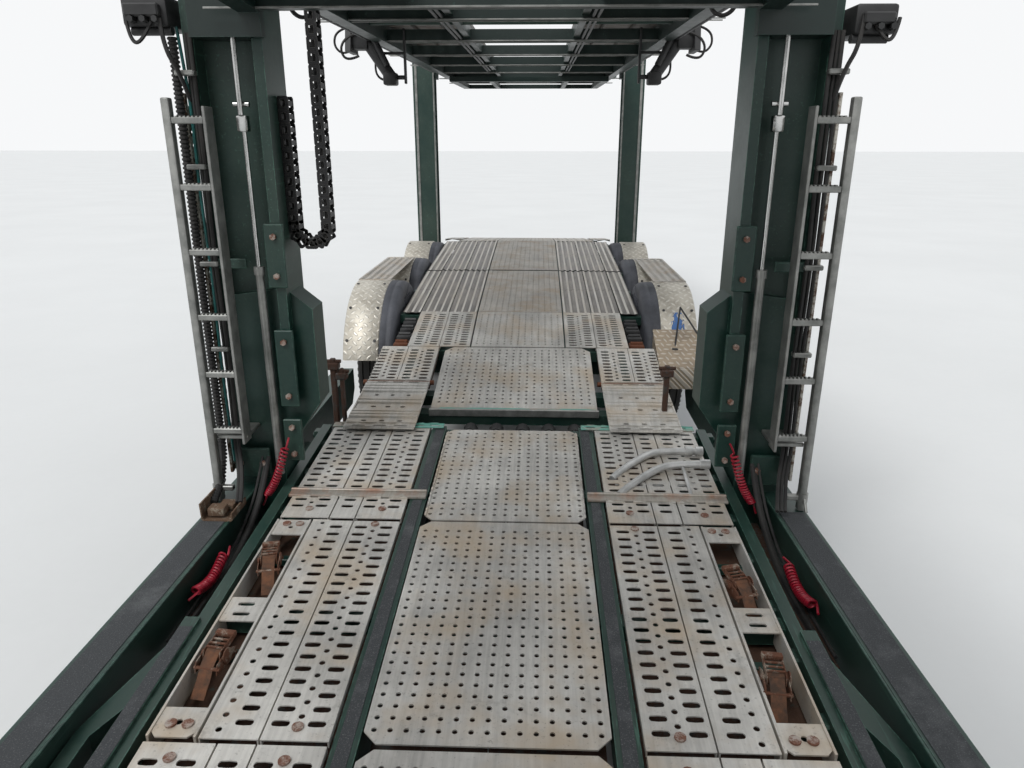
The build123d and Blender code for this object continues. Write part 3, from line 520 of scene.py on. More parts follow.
def coil(start, end, radius, wire, turns):
    """A wound air line: its turns follow a slightly sagging line between two points."""
    start, end = Vector(start), Vector(end)
    way = (end - start).normalized()
    side = way.cross(Vector((0, 0, 1))).normalized()
    up = side.cross(way)
    points = []
    for i in range(turns * 12 + 1):
        t = i / (turns * 12)
        turn = t * turns * math.tau
        sag = Vector((0, 0, -0.03 * math.sin(math.pi * t)))
        points.append(start.lerp(end, t) + sag + side * (radius * math.cos(turn))
            + up * (radius * math.sin(turn)))
    lead = way * 0.05
    return pipe([start - lead] + points + [end + lead], wire)


def joined(pieces):
    """One object from several."""
    clear_selection()
    for piece in pieces:
        piece.select_set(True)
    bpy.context.view_layer.objects.active = pieces[0]
    if len(pieces) > 1:
        bpy.ops.object.join()
    return bpy.context.view_layer.objects.active


def copies(pattern, moves):
    """The pattern repeated at each move, every copy with its own mesh, joined. The pattern itself goes."""
    made = []
    for move in moves:
        matrix = move if isinstance(move, Matrix) else Matrix.Translation(move)
        mesh = pattern.data.copy()
        mesh.transform(matrix)
        if matrix.determinant() < 0:
            mesh.flip_normals()
        obj = bpy.data.objects.new("copy", mesh)
        bpy.context.collection.objects.link(obj)
        made.append(obj)
    bpy.data.objects.remove(pattern)
    return joined(made)


ACROSS = Matrix.Scale(-1, 4, (1, 0, 0))


def follow(obj, height, top=0.0):
    """Lays a piece modelled flat at z 0 on a deck line: height(y) gives the deck's top."""
    for vertex in obj.data.vertices:
        vertex.co.z += height(vertex.co.y) + top
    return obj


def keep(parts, name, finish, slot, body="trailer", smooth=0.0, stands_for=(), both=False, deck=None,
        top=0.0):
    """Joins and names a piece, mirrored too if both is set, and laid on a deck line if one is given."""
    obj = joined(parts) if isinstance(parts, list) else parts
    if both:
        obj = copies(obj, [Matrix.Identity(4), ACROSS])
    if deck:
        follow(obj, deck, top)
    obj.name = name
    obj.data.name = name
    obj.data.materials.clear()
    obj.data.materials.append(finish)
    if smooth:
        take(obj)
        bpy.ops.object.shade_smooth_by_angle(angle=math.radians(smooth))
    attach(obj, body)
    if stands_for:
        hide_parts(*stands_for)


def pair(*details, **more):
    """Keeps the parts and their mirror image across the vehicle as one piece."""
    keep(*details, both=True, **more)


# Perforated, folded, formed and turned sheets

SLOT = (0.052, 0.023)
DOT = (0.019, 0.019)
FINE_DOT = (0.016, 0.016)


def holed_sheet(x, y, size, first, pitch, counts, sides=12):
    """A flat sheet at z 0 with a grid of holes. size is a hole's reach across and along, first its middle."""
    if counts[0] == 1:
        pitch = (2 * min(first[0] - x[0], x[1] - first[0]), pitch[1])
    clear_selection()
    bpy.ops.mesh.primitive_plane_add(size=1, location=(0, 0, 0))
    obj = bpy.context.object
    obj.scale = (*pitch, 1)
    apply_place(obj)
    edit()
    bpy.ops.mesh.delete(type="ONLY_FACE")
    select_all()
    bpy.ops.mesh.subdivide(number_cuts=sides // 4 - 1)
    bpy.ops.mesh.primitive_circle_add(vertices=sides, radius=size[1] / 2)
    spread = (size[0] - size[1]) / 2
    near = size[1] / 2 + 1e-4
    if spread > 0:
        for sign in (1, -1):
            pick(lambda co: co.x * sign > 1e-5 and abs(co.x) <= near and abs(co.y) <= near)
            bpy.ops.transform.translate(value=(sign * spread, 0, 0))
    select_all()
    bpy.ops.mesh.bridge_edge_loops()
    close()
    for count, step_there in ((counts[0], (pitch[0], 0, 0)), (counts[1], (0, pitch[1], 0))):
        if count > 1:
            add_modifier(obj, "ARRAY", count=count, use_relative_offset=False, use_constant_offset=True,
                constant_offset_displace=step_there, use_merge_vertices=True, merge_threshold=0.0002)
    moved(obj, (*first, 0))
    edit()
    for index, limits in ((0, x), (1, y)):
        ends = (first[index] - pitch[index] / 2, first[index] + (counts[index] - 0.5) * pitch[index])
        for end, limit in zip(ends, limits):
            if abs(limit - end) > 2e-4:
                move = [0, 0, 0]
                move[index] = limit - end
                pick(lambda co: abs(co[index] - end) < 1e-4)
                extrude(move)
    close()
    return obj


def thicken(obj, thick):
    """Gives flat sheets their thickness, downward."""
    edit()
    face_outward()
    close()
    if obj.data.polygons[0].normal.z < 0:
        obj.data.flip_normals()
    add_modifier(obj, "SOLIDIFY", thickness=thick, offset=-1.0)
    return obj


def cut_corners(obj, x, y, leg):
    """Cuts the four corners of a flat sheet at 45 degrees."""
    edit()
    for sx, corner_x in ((-1, x[0]), (1, x[1])):
        for sy, corner_y in ((-1, y[0]), (1, y[1])):
            select_all()
            bpy.ops.mesh.bisect(plane_co=(corner_x - sx * leg, corner_y, 0), plane_no=(sx, sy, 0),
                clear_outer=True)
    close()
    return obj


def holes_from(first, last, pitch):
    """How many holes fit from the first middle to the last place that one may have."""
    return max(1, int((last - first) / pitch + 1e-6) + 1)


def dotted_sheet(half, y, margin=0.045, size=FINE_DOT, sides=12, first_x=-0.267, columns=13):
    """A centre sheet with fine holes over its whole length."""
    pitch = (0.0445, 0.0425)
    rows = holes_from(y[0] + margin, y[1] - 0.03, pitch[1])
    return holed_sheet((-half, half), y, size, (first_x, y[0] + margin), pitch, (columns, rows), sides)


def plank(x, y, pitch, columns, sides=12):
    """A folded track plank. A column of holes is its middle, the hole's size and its first and last place."""
    fold = 0.022
    thick = 0.004
    cuts = [x[0]]
    for (left, size_a, _, _), (right, size_b, _, _) in zip(columns, columns[1:]):
        cuts.append((left + size_a[0] / 2 + right - size_b[0] / 2) / 2)
    cuts.append(x[1])
    strips = []
    for i, (middle, size, first, last) in enumerate(columns):
        rows = holes_from(first, last, pitch)
        strips.append(holed_sheet((cuts[i], cuts[i + 1]), y, size, (middle, first), (0, pitch), (1, rows),
            sides))
    sheet = thicken(joined(strips), thick)
    return joined([sheet] + [block((edge, y[0], -fold), (edge + thick, y[1], -0.0035), 0)
        for edge in (x[0], x[1] - thick)])


def pair_and_dots(inner, first, last, pitch):
    """Two columns of long slots with round holes set between them."""
    return [(inner + 0.048, SLOT, first, last), (inner + 0.098, DOT, first + pitch / 2, last - pitch / 2),
        (inner + 0.15, SLOT, first, last)]


def ribbed_plank(x, y, rib, depth=0.009):
    """A rolled plank with long ribs: flat sheet, then every other strip pressed down."""
    clear_selection()
    columns = 4 * max(2, round((x[1] - x[0]) / rib)) + 1
    bpy.ops.mesh.primitive_grid_add(x_subdivisions=columns, y_subdivisions=1, size=1)
    obj = bpy.context.object
    obj.scale = (x[1] - x[0], y[1] - y[0], 1)
    obj.location = ((x[0] + x[1]) / 2, (y[0] + y[1]) / 2, 0)
    apply_place(obj)
    column = (x[1] - x[0]) / columns
    edit()
    pick(lambda co: round((co.x - x[0]) / column) % 4 in (2, 3))
    bpy.ops.transform.translate(value=(0, 0, -depth))
    close()
    return thicken(obj, 0.003)


def bolt_head(radius=0.016, height=0.006):
    """A domed bolt head that stands on z 0."""
    clear_selection()
    bpy.ops.mesh.primitive_cylinder_add(vertices=12, radius=radius, depth=height, location=(0, 0, height / 2))
    obj = bpy.context.object
    edit("FACE")
    pick(lambda co: co.z > 0)
    bpy.ops.mesh.bevel(offset=height * 0.45, segments=2, affect="EDGES")
    close()
    apply_place(obj)
    return obj


def drawn_line(points):
    """A line of edges through the points, left in edit mode with everything selected."""
    clear_selection()
    bpy.ops.mesh.primitive_plane_add(size=0.01, location=(0, 0, 0))
    obj = bpy.context.object
    edit()
    bpy.ops.mesh.merge(type="CENTER")
    bpy.ops.transform.translate(value=points[0])
    for here, there in zip(points, points[1:]):
        extrude([b - a for a, b in zip(here, there)])
    select_all()
    return obj


def drawn_across(outline, axis, low):
    """A line at one place on an axis (0, 1 or 2), whose points give the two other coordinates in order."""
    return drawn_line([[*pair_of[:axis], low, *pair_of[axis:]] for pair_of in outline])


def along_axis(axis, length):
    return [length if i == axis else 0 for i in range(3)]


def formed(outline, axis, low, high, edge=0.002, segments=1):
    """A solid between two places on an axis, with a drawn outline."""
    obj = drawn_across(outline, axis, low)
    bpy.ops.mesh.edge_face_add()
    extrude(along_axis(axis, high - low))
    face_outward()
    if edge:
        bpy.ops.mesh.bevel(offset=edge, segments=segments, affect="EDGES")
    close()
    return obj


def pressed(profile, axis, low, high, thick):
    """A thin sheet whose bent profile runs straight along an axis."""
    obj = drawn_across(profile, axis, low)
    extrude(along_axis(axis, high - low))
    close()
    return thicken(obj, thick)


def spun(profile, centre, steps, sweep=math.tau):
    """A shell turned about a line across the vehicle. The profile gives (x, radius), the centre (y, z)."""
    obj = drawn_line([(x, centre[0] + radius, centre[1]) for x, radius in profile])
    bpy.ops.mesh.spin(steps=steps, angle=-sweep, center=(0, *centre), axis=(1, 0, 0))
    select_all()
    bpy.ops.mesh.remove_doubles(threshold=1e-5)
    bpy.ops.mesh.normals_make_consistent(inside=False)
    close()
    return obj


def sliced(obj, place, away):
    """Cuts off what lies beyond a plane, on the side that away points to."""
    bpy.context.view_layer.objects.active = obj
    edit()
    bpy.ops.mesh.bisect(plane_co=place, plane_no=away, clear_outer=True)
    close()
    return obj


def turned_about(obj, point, axis, degrees):
    """The object turned about a line through a point."""
    turn = Matrix.Rotation(math.radians(degrees), 4, axis)
    return moved(obj, Matrix.Translation(point) @ turn @ Matrix.Translation([-c for c in point]))


# Low front deck

DECK_PLATES = ("deck_plates",)
LOW_PLATES = ("low_deck_plates",)
PLATE_TOP = 0.008
LOW_PITCH = 0.0516


def deck_piece(parts, name, finish=plate_metal, body="trailer", stands_for=DECK_PLATES, **more):
    keep(parts, name, finish, "deck_aluminium", body, stands_for=stands_for, **more)


def low_piece(parts, name, top=PLATE_TOP, finish=plate_metal, **more):
    """A piece that stands for the low deck's plates and is laid on it."""
    deck_piece(parts, name, finish, "low_deck", LOW_PLATES, deck=low_z, top=top, **more)


strap_bay_y = -0.769
low_planks = []
for y_a, y_b, first, last in ((low_front_y, -0.785, low_front_y + 0.05, -0.82),
        (strap_bay_y, 0.312, -0.712, 0.27), (0.334, 0.49, 0.425, 0.477),
        (0.56, low_rear_y, 0.592, low_rear_y - 0.03)):
    y = (y_a, y_b)
    low_planks.append(plank((0.425, 0.613), y, LOW_PITCH, pair_and_dots(0.425, first, last, LOW_PITCH)))
    if y_a == strap_bay_y:
        beside_straps = [(0.676, SLOT, first, last), (0.738, DOT, first - 0.026, last + 0.026)]
        low_planks.append(plank((0.618, 0.782), y, LOW_PITCH, beside_straps))
    else:
        low_planks.append(plank((0.618, 0.72), y, LOW_PITCH, [(0.669, SLOT, first, last)]))
        low_planks.append(plank((0.726, 0.925), y, LOW_PITCH, pair_and_dots(0.731, first, last, LOW_PITCH)))
low_piece(low_planks, "low_track_planks", both=True)

centre_sheets = []
for y_a, y_b, half, leg in ((low_front_y + 0.06, -0.79, 0.338, 0.04), (-0.771, 0.318, 0.338, 0.04),
        (0.33, 1.185, 0.325, 0.028)):
    sheet = dotted_sheet(half, (y_a, y_b), 0.046, first_x=-0.3115, columns=15)
    centre_sheets.append(cut_corners(sheet, (-half, half), (y_a, y_b), leg))
low_piece(thicken(joined(centre_sheets), 0.005), "low_centre_plates")

frame_pieces = []
for y_a, y_b, size, first_y, rows in ((-0.768, -0.665, (0.02, 0.02), -0.7165, 1),
        (-0.3, -0.18, (0.058, 0.02), -0.265, 2), (0.208, 0.312, (0.02, 0.02), 0.26, 1)):
    x = (0.792, 0.925)
    sheet = holed_sheet(x, (y_a, y_b), size, (0.858, first_y), (0, 0.05), (1, rows))
    if not frame_pieces:
        sheet = cut_corners(sheet, x, (y_a, y_b + 1), 0.022)
    frame_pieces.append(thicken(sheet, 0.005))
frame_pieces += blocks(((0.789, -0.768, -0.08), (0.797, 0.312, 0.004), 0.001), ((0.92, -0.768, -0.08),
    (0.928, 0.312, 0.004), 0.001))
low_piece(frame_pieces, "low_strap_frames", both=True)

low_piece(blocks(((0.348, 0.5, 0.0), (0.945, 0.54, 0.014), 0.004, 2), ((0.348, 0.538, 0.004),
    (0.945, 0.552, 0.022))), "low_cross_bars", 0.0, bar_metal, both=True)
pair(blocks(((0.361, low_front_y + 0.02, 0), (0.402, 0.495, 0.0022), 0.0008),
    ((0.352, 0.56, 0), (0.396, low_rear_y - 0.04, 0.0022), 0.0008)), "low_grip_strips", grip_tape,
    "guard_plastic", "low_deck", deck=low_z)

bolts = [(0.5226, -0.725), (0.5225, 0.288), (0.8295, -0.725), (0.8773, -0.725), (0.826, 0.28),
    (0.879, 0.28), (0.517, 0.405), (0.822, 0.397)]
bolts += [(x, y) for y in (-0.835, 1.21, low_front_y + 0.1) for x in (0.524, 0.829)]
heads = copies(bolt_head(0.0165), [(x, y, low_z(y) + PLATE_TOP) for x, y in bolts])
pair(heads, "low_deck_bolts", stained_bolt, "galvanised", "low_deck", 35)

# Middle and rear deck

half, y_a, y_b = 0.46, 1.455, 2.205
front_plate = dotted_sheet(half, (y_a, y_b), 0.075, first_x=-0.4228, columns=20)
front_plate = cut_corners(front_plate, (-half, half), (y_a - 1, y_b), 0.05)
mid_pieces = [thicken(front_plate, 0.005), block((-half, y_a - 0.002, -0.03), (half, y_a + 0.004, 0.001),
    0.001)]
mid_pieces.append(thicken(dotted_sheet(0.3, (2.22, 2.832)), 0.005))
deck_piece(mid_pieces, "mid_centre_plates", deck=mid_z)

mid_planks = []
for x_in, y_a, y_b, reach in ((0.505, 1.765, 2.21, 0.87), (0.31, 2.22, 2.832, 0.712)):
    first, last, pitch = y_a + 0.035, y_b - 0.03, 0.04
    mid_planks.append(plank((x_in, x_in + 0.195), (y_a, y_b), pitch, pair_and_dots(x_in, first, last, pitch)))
    mid_planks.append(plank((x_in + 0.199, reach), (y_a, y_b), pitch, pair_and_dots(x_in + 0.192, first,
        last, pitch)))
for y_a, y_b in ((5.538, 6.99), (7.01, 8.085)):
    for x_in, start in ((0.31, y_a), (0.512, y_a), (0.765, max(y_a, 6.3))):
        columns = pair_and_dots(x_in, start + 0.05, y_b - 0.04, LOW_PITCH)
        mid_planks.append(plank((x_in, x_in + 0.195), (start, y_b), LOW_PITCH, columns, 8))
deck_piece(mid_planks, "mid_track_planks", both=True, deck=mid_z)

slats = []
for y in ((2.838, 3.455), (3.461, 4.065), (4.105, 4.8), (4.806, 5.532)):
    slats += [ribbed_plank((0.31, 0.508), y, 0.05), ribbed_plank((0.514, 0.712), y, 0.05)]
    slats.append(moved(ribbed_plank((0.722, 0.845), y, 0.12, 0.004), (0, 0, -0.006)))
deck_piece(slats, "mid_ribbed_slats", rib_plate, both=True, deck=mid_z)
centre_slats = [thicken(dotted_sheet(0.3, y, size=(0.014, 0.014), sides=8), 0.005)
    for y in ((2.838, 4.065), (4.105, 5.532), (5.538, 6.99), (7.01, 8.085))]
deck_piece(centre_slats, "mid_centre_slats", far_plate_metal, deck=mid_z)

neck_sheets = []
neck_pitch = 0.06
for x in ((-0.99, -0.64), (-0.62, -0.01), (0.01, 0.62), (0.64, 0.99)):
    counts = (holes_from(x[0] + 0.04, x[1] - 0.03, neck_pitch), holes_from(-4.86, -2.0, neck_pitch))
    neck_sheets.append(holed_sheet(x, (-4.91, -1.97), (0.02, 0.02), (x[0] + 0.04, -4.86),
        (neck_pitch,) * 2, counts, 8))
deck_piece(moved(thicken(joined(neck_sheets), 0.025), (0, 0, 1.265)), "neck_plates")

# Wheel arches: chequer covers outside, moulded guards inside, ribbed bridges between the first two

AXLES = (3.155, 4.305, 5.455)
AXLE_GAP = 1.15
ARCH_HEIGHT = 0.44
ARCH_REACH = 0.62
ARCH_FOOT = 0.6


def arch_shells(profile, thick):
    """One bent shell over each axle, cut where two meet and level at the foot."""
    shells = []
    for axle in AXLES:
        shell = spun(profile, (axle, ARCH_HEIGHT), 48, math.pi)
        sliced(shell, (0, axle, ARCH_FOOT), (0, 0, -1))
        for sign in (-1, 1):
            if AXLES[0] - 0.01 < axle + sign * AXLE_GAP < AXLES[2] + 0.01:
                sliced(shell, (0, axle + sign * AXLE_GAP / 2, 0), (0, sign, 0))
        shells.append(shell)
    obj = joined(shells)
    add_modifier(obj, "SOLIDIFY", thickness=thick, offset=-1.0)
    return obj


def along_arch(finish):
    """Length along the bent cover of the nearest wheel."""
    nearest = ((finish.axis("y") - AXLES[0]) / AXLE_GAP + 0.5).whole().largest(0.0).smallest(2.0)
    along = finish.axis("y") - (nearest * AXLE_GAP + AXLES[0])
    return (finish.axis("z") - ARCH_HEIGHT).turn_from(along) * ARCH_REACH


DIAGONAL = 0.707
arch_metal = chequer("arch_tread_plate", lambda f: (f.axis("x") + along_arch(f)) * DIAGONAL,
    lambda f: (f.axis("x") - along_arch(f)) * DIAGONAL, (208, 203, 191), (172, 165, 152), 0.048)

smear = arch_shells([(1.06, 0.6206), (1.15, 0.6206)], 0.0004)
sliced(smear, (0, 2.64, 0), (0, -1, 0))
sliced(smear, (0, 2.76, 0), (0, 1, 0))
keep(smear, "blue_smear_right", torn_smear(), "checker_plate")
cover = arch_shells([(0.986, 0.602), (0.987, 0.614), (0.993, 0.62), (1.231, 0.62), (1.237, 0.615),
    (1.2378, 0.598)], 0.003)
pair(cover, "arch_covers", arch_metal, "checker_plate", smooth=50, stands_for=["arch_plates"])
guard = arch_shells([(0.878, 0.06), (0.872, 0.22), (0.8705, 0.4), (0.866, 0.404), (0.866, 0.424),
    (0.8705, 0.428), (0.87, 0.52), (0.871, 0.56), (0.88, 0.59), (0.9, 0.606), (0.925, 0.611),
    (0.93, 0.6085), (0.945, 0.6085), (0.95, 0.612), (0.996, 0.612)], 0.005)
pair(guard, "wheel_guards", guard_plastic, "guard_plastic", smooth=50, stands_for=["mudguards"])

flap = formed([(0.93, 0.231), (1.19, 0.231), (1.19, 0.64), (0.93, 0.64)], 1, 6.026, 6.034)
fixing = block((0.93, 6.02, 0.6), (1.19, 6.026, 0.63), 0.001)
pair(flap, "mud_flaps", black_rubber, "guard_plastic", stands_for=["mudguards"])
pair(fixing, "mud_flap_strips", galvanised, "galvanised")

bridge = [moved(ribbed_plank((0.992, 1.236), (3.17, 4.29), 0.061, 0.01), (0, 0, 1.066))]
bridge += [block((0.99, y, 1.05), (1.237, y + 0.012, 1.064), 0.001) for y in (3.168, 4.28)]
pair(bridge, "arch_bridges", far_plate_metal, "checker_plate", stands_for=["arch_plates"])

cover_bolts = []
for axle in AXLES:
    for turn in (100, 128, 152):
        for x in (1.015, 1.212):
            spot = Matrix.Translation((x, axle, ARCH_HEIGHT)) @ Matrix.Rotation(math.radians(turn - 90), 4,
                "X")
            cover_bolts.append(spot @ Matrix.Translation((0, 0, ARCH_REACH)))
pair(copies(bolt_head(0.01, 0.005), cover_bolts), "arch_bolts", black_plastic, "galvanised", smooth=35)

stud_places = [(0.8685, 3.05 + 0.034 * row + 0.006 * (column % 2), 0.835 + 0.022 * column)
    for row in range(7) for column in range(6)]
stud = spun([(-0.0045, 0.0), (-0.0045, 0.006), (-0.001, 0.009), (0.004, 0.009)], (0, 0), 8)
pair(copies(stud, stud_places), "guard_studs", guard_plastic, "guard_plastic")
ribs = []
for axle in AXLES:
    for z in (0.76, 0.86, 0.96):
        rib = block((0.8665, axle - 0.12, z), (0.8715, axle + 0.14, z + 0.012))
        ribs.append(turned_about(rib, (0.87, axle, z), "X", 24))
pair(ribs, "guard_ribs", guard_plastic, "guard_plastic", smooth=35)

# Control cabinet in front of the first right arch, and the thin linkage above it
cabinet = formed([(2.12, 0.562), (2.478, 0.562), (2.478, 0.858), (2.12, 0.698)], 0, 0.902, 1.228, 0.006, 2)
lid = pressed([(2.122, 0.69), (2.124, 0.706), (2.476, 0.864), (2.48, 0.846)], 0, 0.899, 1.23, 0.003)
tread_sloped = chequer("cabinet_tread_plate", lambda f: f.axis("x") + f.axis("z"), lambda f: f.axis("y"),
    (190, 172, 148), (150, 136, 118))
for part, name in ((cabinet, "control_cabinet"), (lid, "cabinet_lid")):
    keep(part, name, tread_sloped, "checker_plate", smooth=35, stands_for=["arch_plates"])
linkage = bars(((1.1, 2.62, 0.985), (1.225, 2.14, 0.78), 0.006, 8),
    ((1.1, 2.62, 0.985), (1.02, 2.3, 0.775), 0.006, 8), ((1.225, 2.14, 0.78), (1.225, 2.13, 0.6), 0.006, 8))
linkage += [formed([(2.1, 0.6), (2.135, 0.6), (2.135, 0.8), (2.12, 0.815), (2.1, 0.8)], 0, 1.205, 1.24),
    block((1.0, 2.28, 0.755), (1.04, 2.32, 0.785), 0.004)]
keep(linkage, "cabinet_linkage", black_plastic, "chassis_black", smooth=35)

# Bridging flaps: bent plates with cross ribs and rows of holes. Each strip has the y of its ends, then the
# size, count and pitch of its holes, or nothing for a rib
flap_strips = [(1.15, 1.196, (0.07, 0.014), 3, 0.11), (1.196, 1.262, (0.03, 0.02), 3, 0.095),
    (1.262, 1.296), (1.296, 1.33), (1.33, 1.364), (1.364, 1.44, (0.03, 0.022), 3, 0.08), (1.44, 1.476),
    (1.476, 1.512), (1.512, 1.58, (0.024, 0.022), 3, 0.09), (1.58, 1.616), (1.616, 1.652), (1.652, 1.694),
    (1.694, 1.742, (0.062, 0.014), 3, 0.09)]


def flap_strip(y_a, y_b, size=None, count=0, pitch=0.0):
    if not size:
        rise = [(y_a + 0.003, -0.004), (y_a + 0.007, 0.008), (y_b - 0.007, 0.008), (y_b - 0.003, -0.004)]
        return pressed(rise, 0, 0.502, 0.868, 0.004)
    first = (0.685 - (count - 1) * pitch / 2, (y_a + y_b) / 2)
    return thicken(holed_sheet((0.502, 0.868), (y_a, y_b), size, first, (pitch, 0.05), (count, 1)), 0.008)


def on_side(obj, sign):
    """The piece itself, or its mirror image on the left."""
    return copies(obj, [ACROSS]) if sign < 0 else obj


for side, sign in SIDES:
    flap_body = f"track_flap_{side}"
    strips = [flap_strip(*strip) for strip in flap_strips]
    strips += [block((x, 1.16, -0.009), (x + 0.008, 1.74, 0.002), 0.001) for x in (0.5, 0.862)]
    strips.append(block((0.502, 1.146, -0.008), (0.868, 1.153, 0.0), 0.001))
    top = on_side(follow(joined(strips), flap_z), sign)
    deck_piece(top, f"bridging_flap_{side}", body=flap_body, stands_for=[flap_body])
    # Dark plates under the flap's holes: painted shade, so the holes read dark.
    under = blocks(((0.506, 1.156, -0.0105), (0.864, 1.262, -0.0085), 0), ((0.506, 1.262, -0.03),
        (0.864, 1.738, -0.022), 0.001))
    under = on_side(follow(joined(under), flap_z), sign)
    keep(under, f"flap_shade_underlay_{side}", black_plastic, "chassis_black", flap_body, stands_for=[flap_body])
    pins = [round_bar((sign * x, 1.735, 0.715), (sign * (x + reach), 1.735, 0.715), radius, 16, edge)
        for x, reach, radius, edge in ((0.478, 0.022, 0.014, 0.002), (0.87, 0.022, 0.014, 0.002),
        (0.485, 0.4, 0.0089, 0))]
    keep(pins, f"flap_pins_{side}", rust, "galvanised", flap_body, 35)

# Low deck: tape, webbing ratchets, hoses and coils beside it

tape_start, tape_end, tape_z = -1.93, -0.34, low_z(-1.93) + 0.0125
tape = formed([(0.987, tape_z), (1.033, tape_z), (1.033, tape_z + 0.002), (0.987, tape_z + 0.002)], 1,
    tape_start, tape_end, 0)
pair(follow(tape, lambda y: LOW_SLOPE * (y - tape_start)), "rail_grip_strips", grip_tape, "guard_plastic",
    "low_deck")
pair(block((1.16, -1.93, 0.56), (1.262, 0.5, 0.5625), 0.001), "sill_grip_strips", grip_tape, "guard_plastic")
pair(block((1.139, -1.96, 0.552), (1.147, 1.1, 0.564), 0.002), "sill_rims", green, "green_paint")


def ratchet(x, y, z):
    """A webbing ratchet: two side plates, three bars, a slotted handle."""
    parts = []
    for sign in (-1, 1):
        cheek = [(y - 0.055, z - 0.01), (y + 0.05, z - 0.018), (y + 0.062, z + 0.012),
            (y + 0.02, z + 0.034), (y - 0.045, z + 0.022)]
        grip = [(y - 0.02, z + 0.012), (y + 0.078, z + 0.034), (y + 0.08, z + 0.05), (y - 0.012, z + 0.042)]
        parts.append(formed(cheek, 0, x + sign * 0.034, x + sign * 0.037, 0.0008))
        parts.append(formed(grip, 0, x + sign * 0.026, x + sign * 0.029, 0.0008))
    for along, up, radius in ((-0.044, 0.004, 0.006), (0.052, -0.004, 0.006), (0.006, 0.02, 0.01)):
        parts.append(round_bar((x - 0.042, y + along, z + up), (x + 0.042, y + along, z + up), radius, 12,
            0.0015))
    toothed_wheel = [(x + 0.038, 0.0), (x + 0.038, 0.024), (x + 0.041, 0.024), (x + 0.041, 0.0)]
    parts.append(spun(toothed_wheel, (y + 0.006, z + 0.02), 12))
    parts.append(block((x - 0.032, y + 0.062, z + 0.036), (x + 0.032, y + 0.084, z + 0.054), 0.004, 2))
    return parts + [block((x - 0.026, y + 0.004 + 0.019 * i, z + 0.04), (x + 0.026, y + 0.011 + 0.019 * i,
        z + 0.046), 0.001) for i in range(3)]


def webbing(x, y, z):
    """Belt wound on the ratchet's shaft and its loose end along the opening."""
    roll = [(x - 0.024, 0.0), (x - 0.024, 0.019), (x + 0.024, 0.019), (x + 0.024, 0.0)]
    tail = [(y - 0.11, z - 0.055), (y - 0.09, z - 0.035), (y - 0.07, z - 0.02), (y - 0.046, z + 0.01),
        (y - 0.01, z + 0.032)]
    return [spun(roll, (y + 0.006, z + 0.02), 14), pressed(tail, 0, x - 0.022, x + 0.022, 0.003)]


metal_parts, cloth_parts = [], []
for spot, lean in (((-0.859, 0.017, 0.56), 12), ((-0.861, -0.471, 0.529), -8), ((0.849, -0.073, 0.554),
        16), ((0.839, -0.516, 0.527), -6)):
    metal_parts += [turned_about(part, spot, "Z", lean) for part in ratchet(*spot)]
    cloth_parts += [turned_about(part, spot, "Z", lean) for part in webbing(*spot)]
keep(metal_parts, "strap_ratchets", ratchet_steel, "galvanised", "low_deck", 35)
keep(cloth_parts, "strap_rolls", belt_cloth, "trim_plastic", "low_deck", 40)

under_bars = []
for y in (-1.8, -1.45, -1.1, -0.62, -0.36, -0.12, 0.16, 0.44, 0.78, 1.08):
    z = low_z(y)
    under_bars += blocks(((0.785, y - 0.016, z - 0.095), (0.985, y + 0.016, z - 0.065)),
        ((0.94, y - 0.03, z - 0.066), (0.975, y + 0.03, z - 0.02), 0.006))
pair(under_bars, "low_cross_tubes", green, "green_paint", "low_deck")

coils = []
for sign in (-1, 1):
    coils.append(coil((sign * 1.108, -0.07, 0.5), (sign * 1.092, 0.15, 0.52), 0.017, 0.0046, 18))
    coils.append(coil((sign * 1.062, 0.56, 0.57), (sign * 0.975, 0.6, 0.78), 0.015, 0.0046, 18))
keep(coils, "coiled_air_lines", coil_red, "chain_plastic", smooth=60)
side_hoses = []
for x, z, radius in ((1.098, 0.5, 0.01), (1.112, 0.485, 0.008), (1.106, 0.468, 0.012), (1.124, 0.505, 0.006)):
    way = [(x - 0.03, 0.64, z + 0.22), (x - 0.02, 0.56, z + 0.1), (x - 0.006, 0.46, z + 0.01),
        (x - 0.002, 0.3, z - 0.05), (x - 0.004, 0.05, z - 0.07), (x, -0.27, z - 0.07)]
    side_hoses.append(pipe(way, radius))
pair(side_hoses, "side_hoses", black_rubber, "chain_plastic", smooth=60)
pair(block((1.046, -0.28, 0.398), (1.137, 1.14, 0.402), 0), "gap_floors", dark_steel, "chassis_black")

# Folded bracket on the left sill and two bent bars laid on the right track
bracket_line = [(-1.252, 0.64), (-1.25, 0.572), (-1.245, 0.567), (-1.135, 0.567), (-1.13, 0.572),
    (-1.13, 0.6)]
bracket = [pressed(bracket_line, 1, 0.33, 0.48, 0.006)]
bracket += blocks(((-1.235, 0.345, 0.575), (-1.165, 0.4, 0.612), 0.006, 2), ((-1.215, 0.405, 0.575),
    (-1.15, 0.465, 0.598), 0.006, 2))
keep(bracket, "sill_bracket_left", tan_steel, "galvanised", smooth=35)
tools = [pipe([(0.47, 0.7, 0.606), (0.5, 0.742, 0.616), (0.59, 0.84, 0.634), (0.68, 0.918, 0.646),
    (0.78, 0.926, 0.65), (0.905, 0.926, 0.652)], 0.0175, 12),
    pipe([(0.49, 0.56, 0.598), (0.52, 0.6, 0.606), (0.62, 0.7, 0.628), (0.7, 0.765, 0.64),
    (0.79, 0.79, 0.644), (0.915, 0.79, 0.646)], 0.0175, 12)]
tools += bars(((0.836, 0.926, 0.652), (0.87, 0.926, 0.652), 0.023, 16, 0.003), ((0.885, 0.926, 0.652),
    (0.92, 0.926, 0.652), 0.022, 16, 0.003), ((0.88, 0.79, 0.646), (0.925, 0.79, 0.646), 0.022, 16, 0.003))
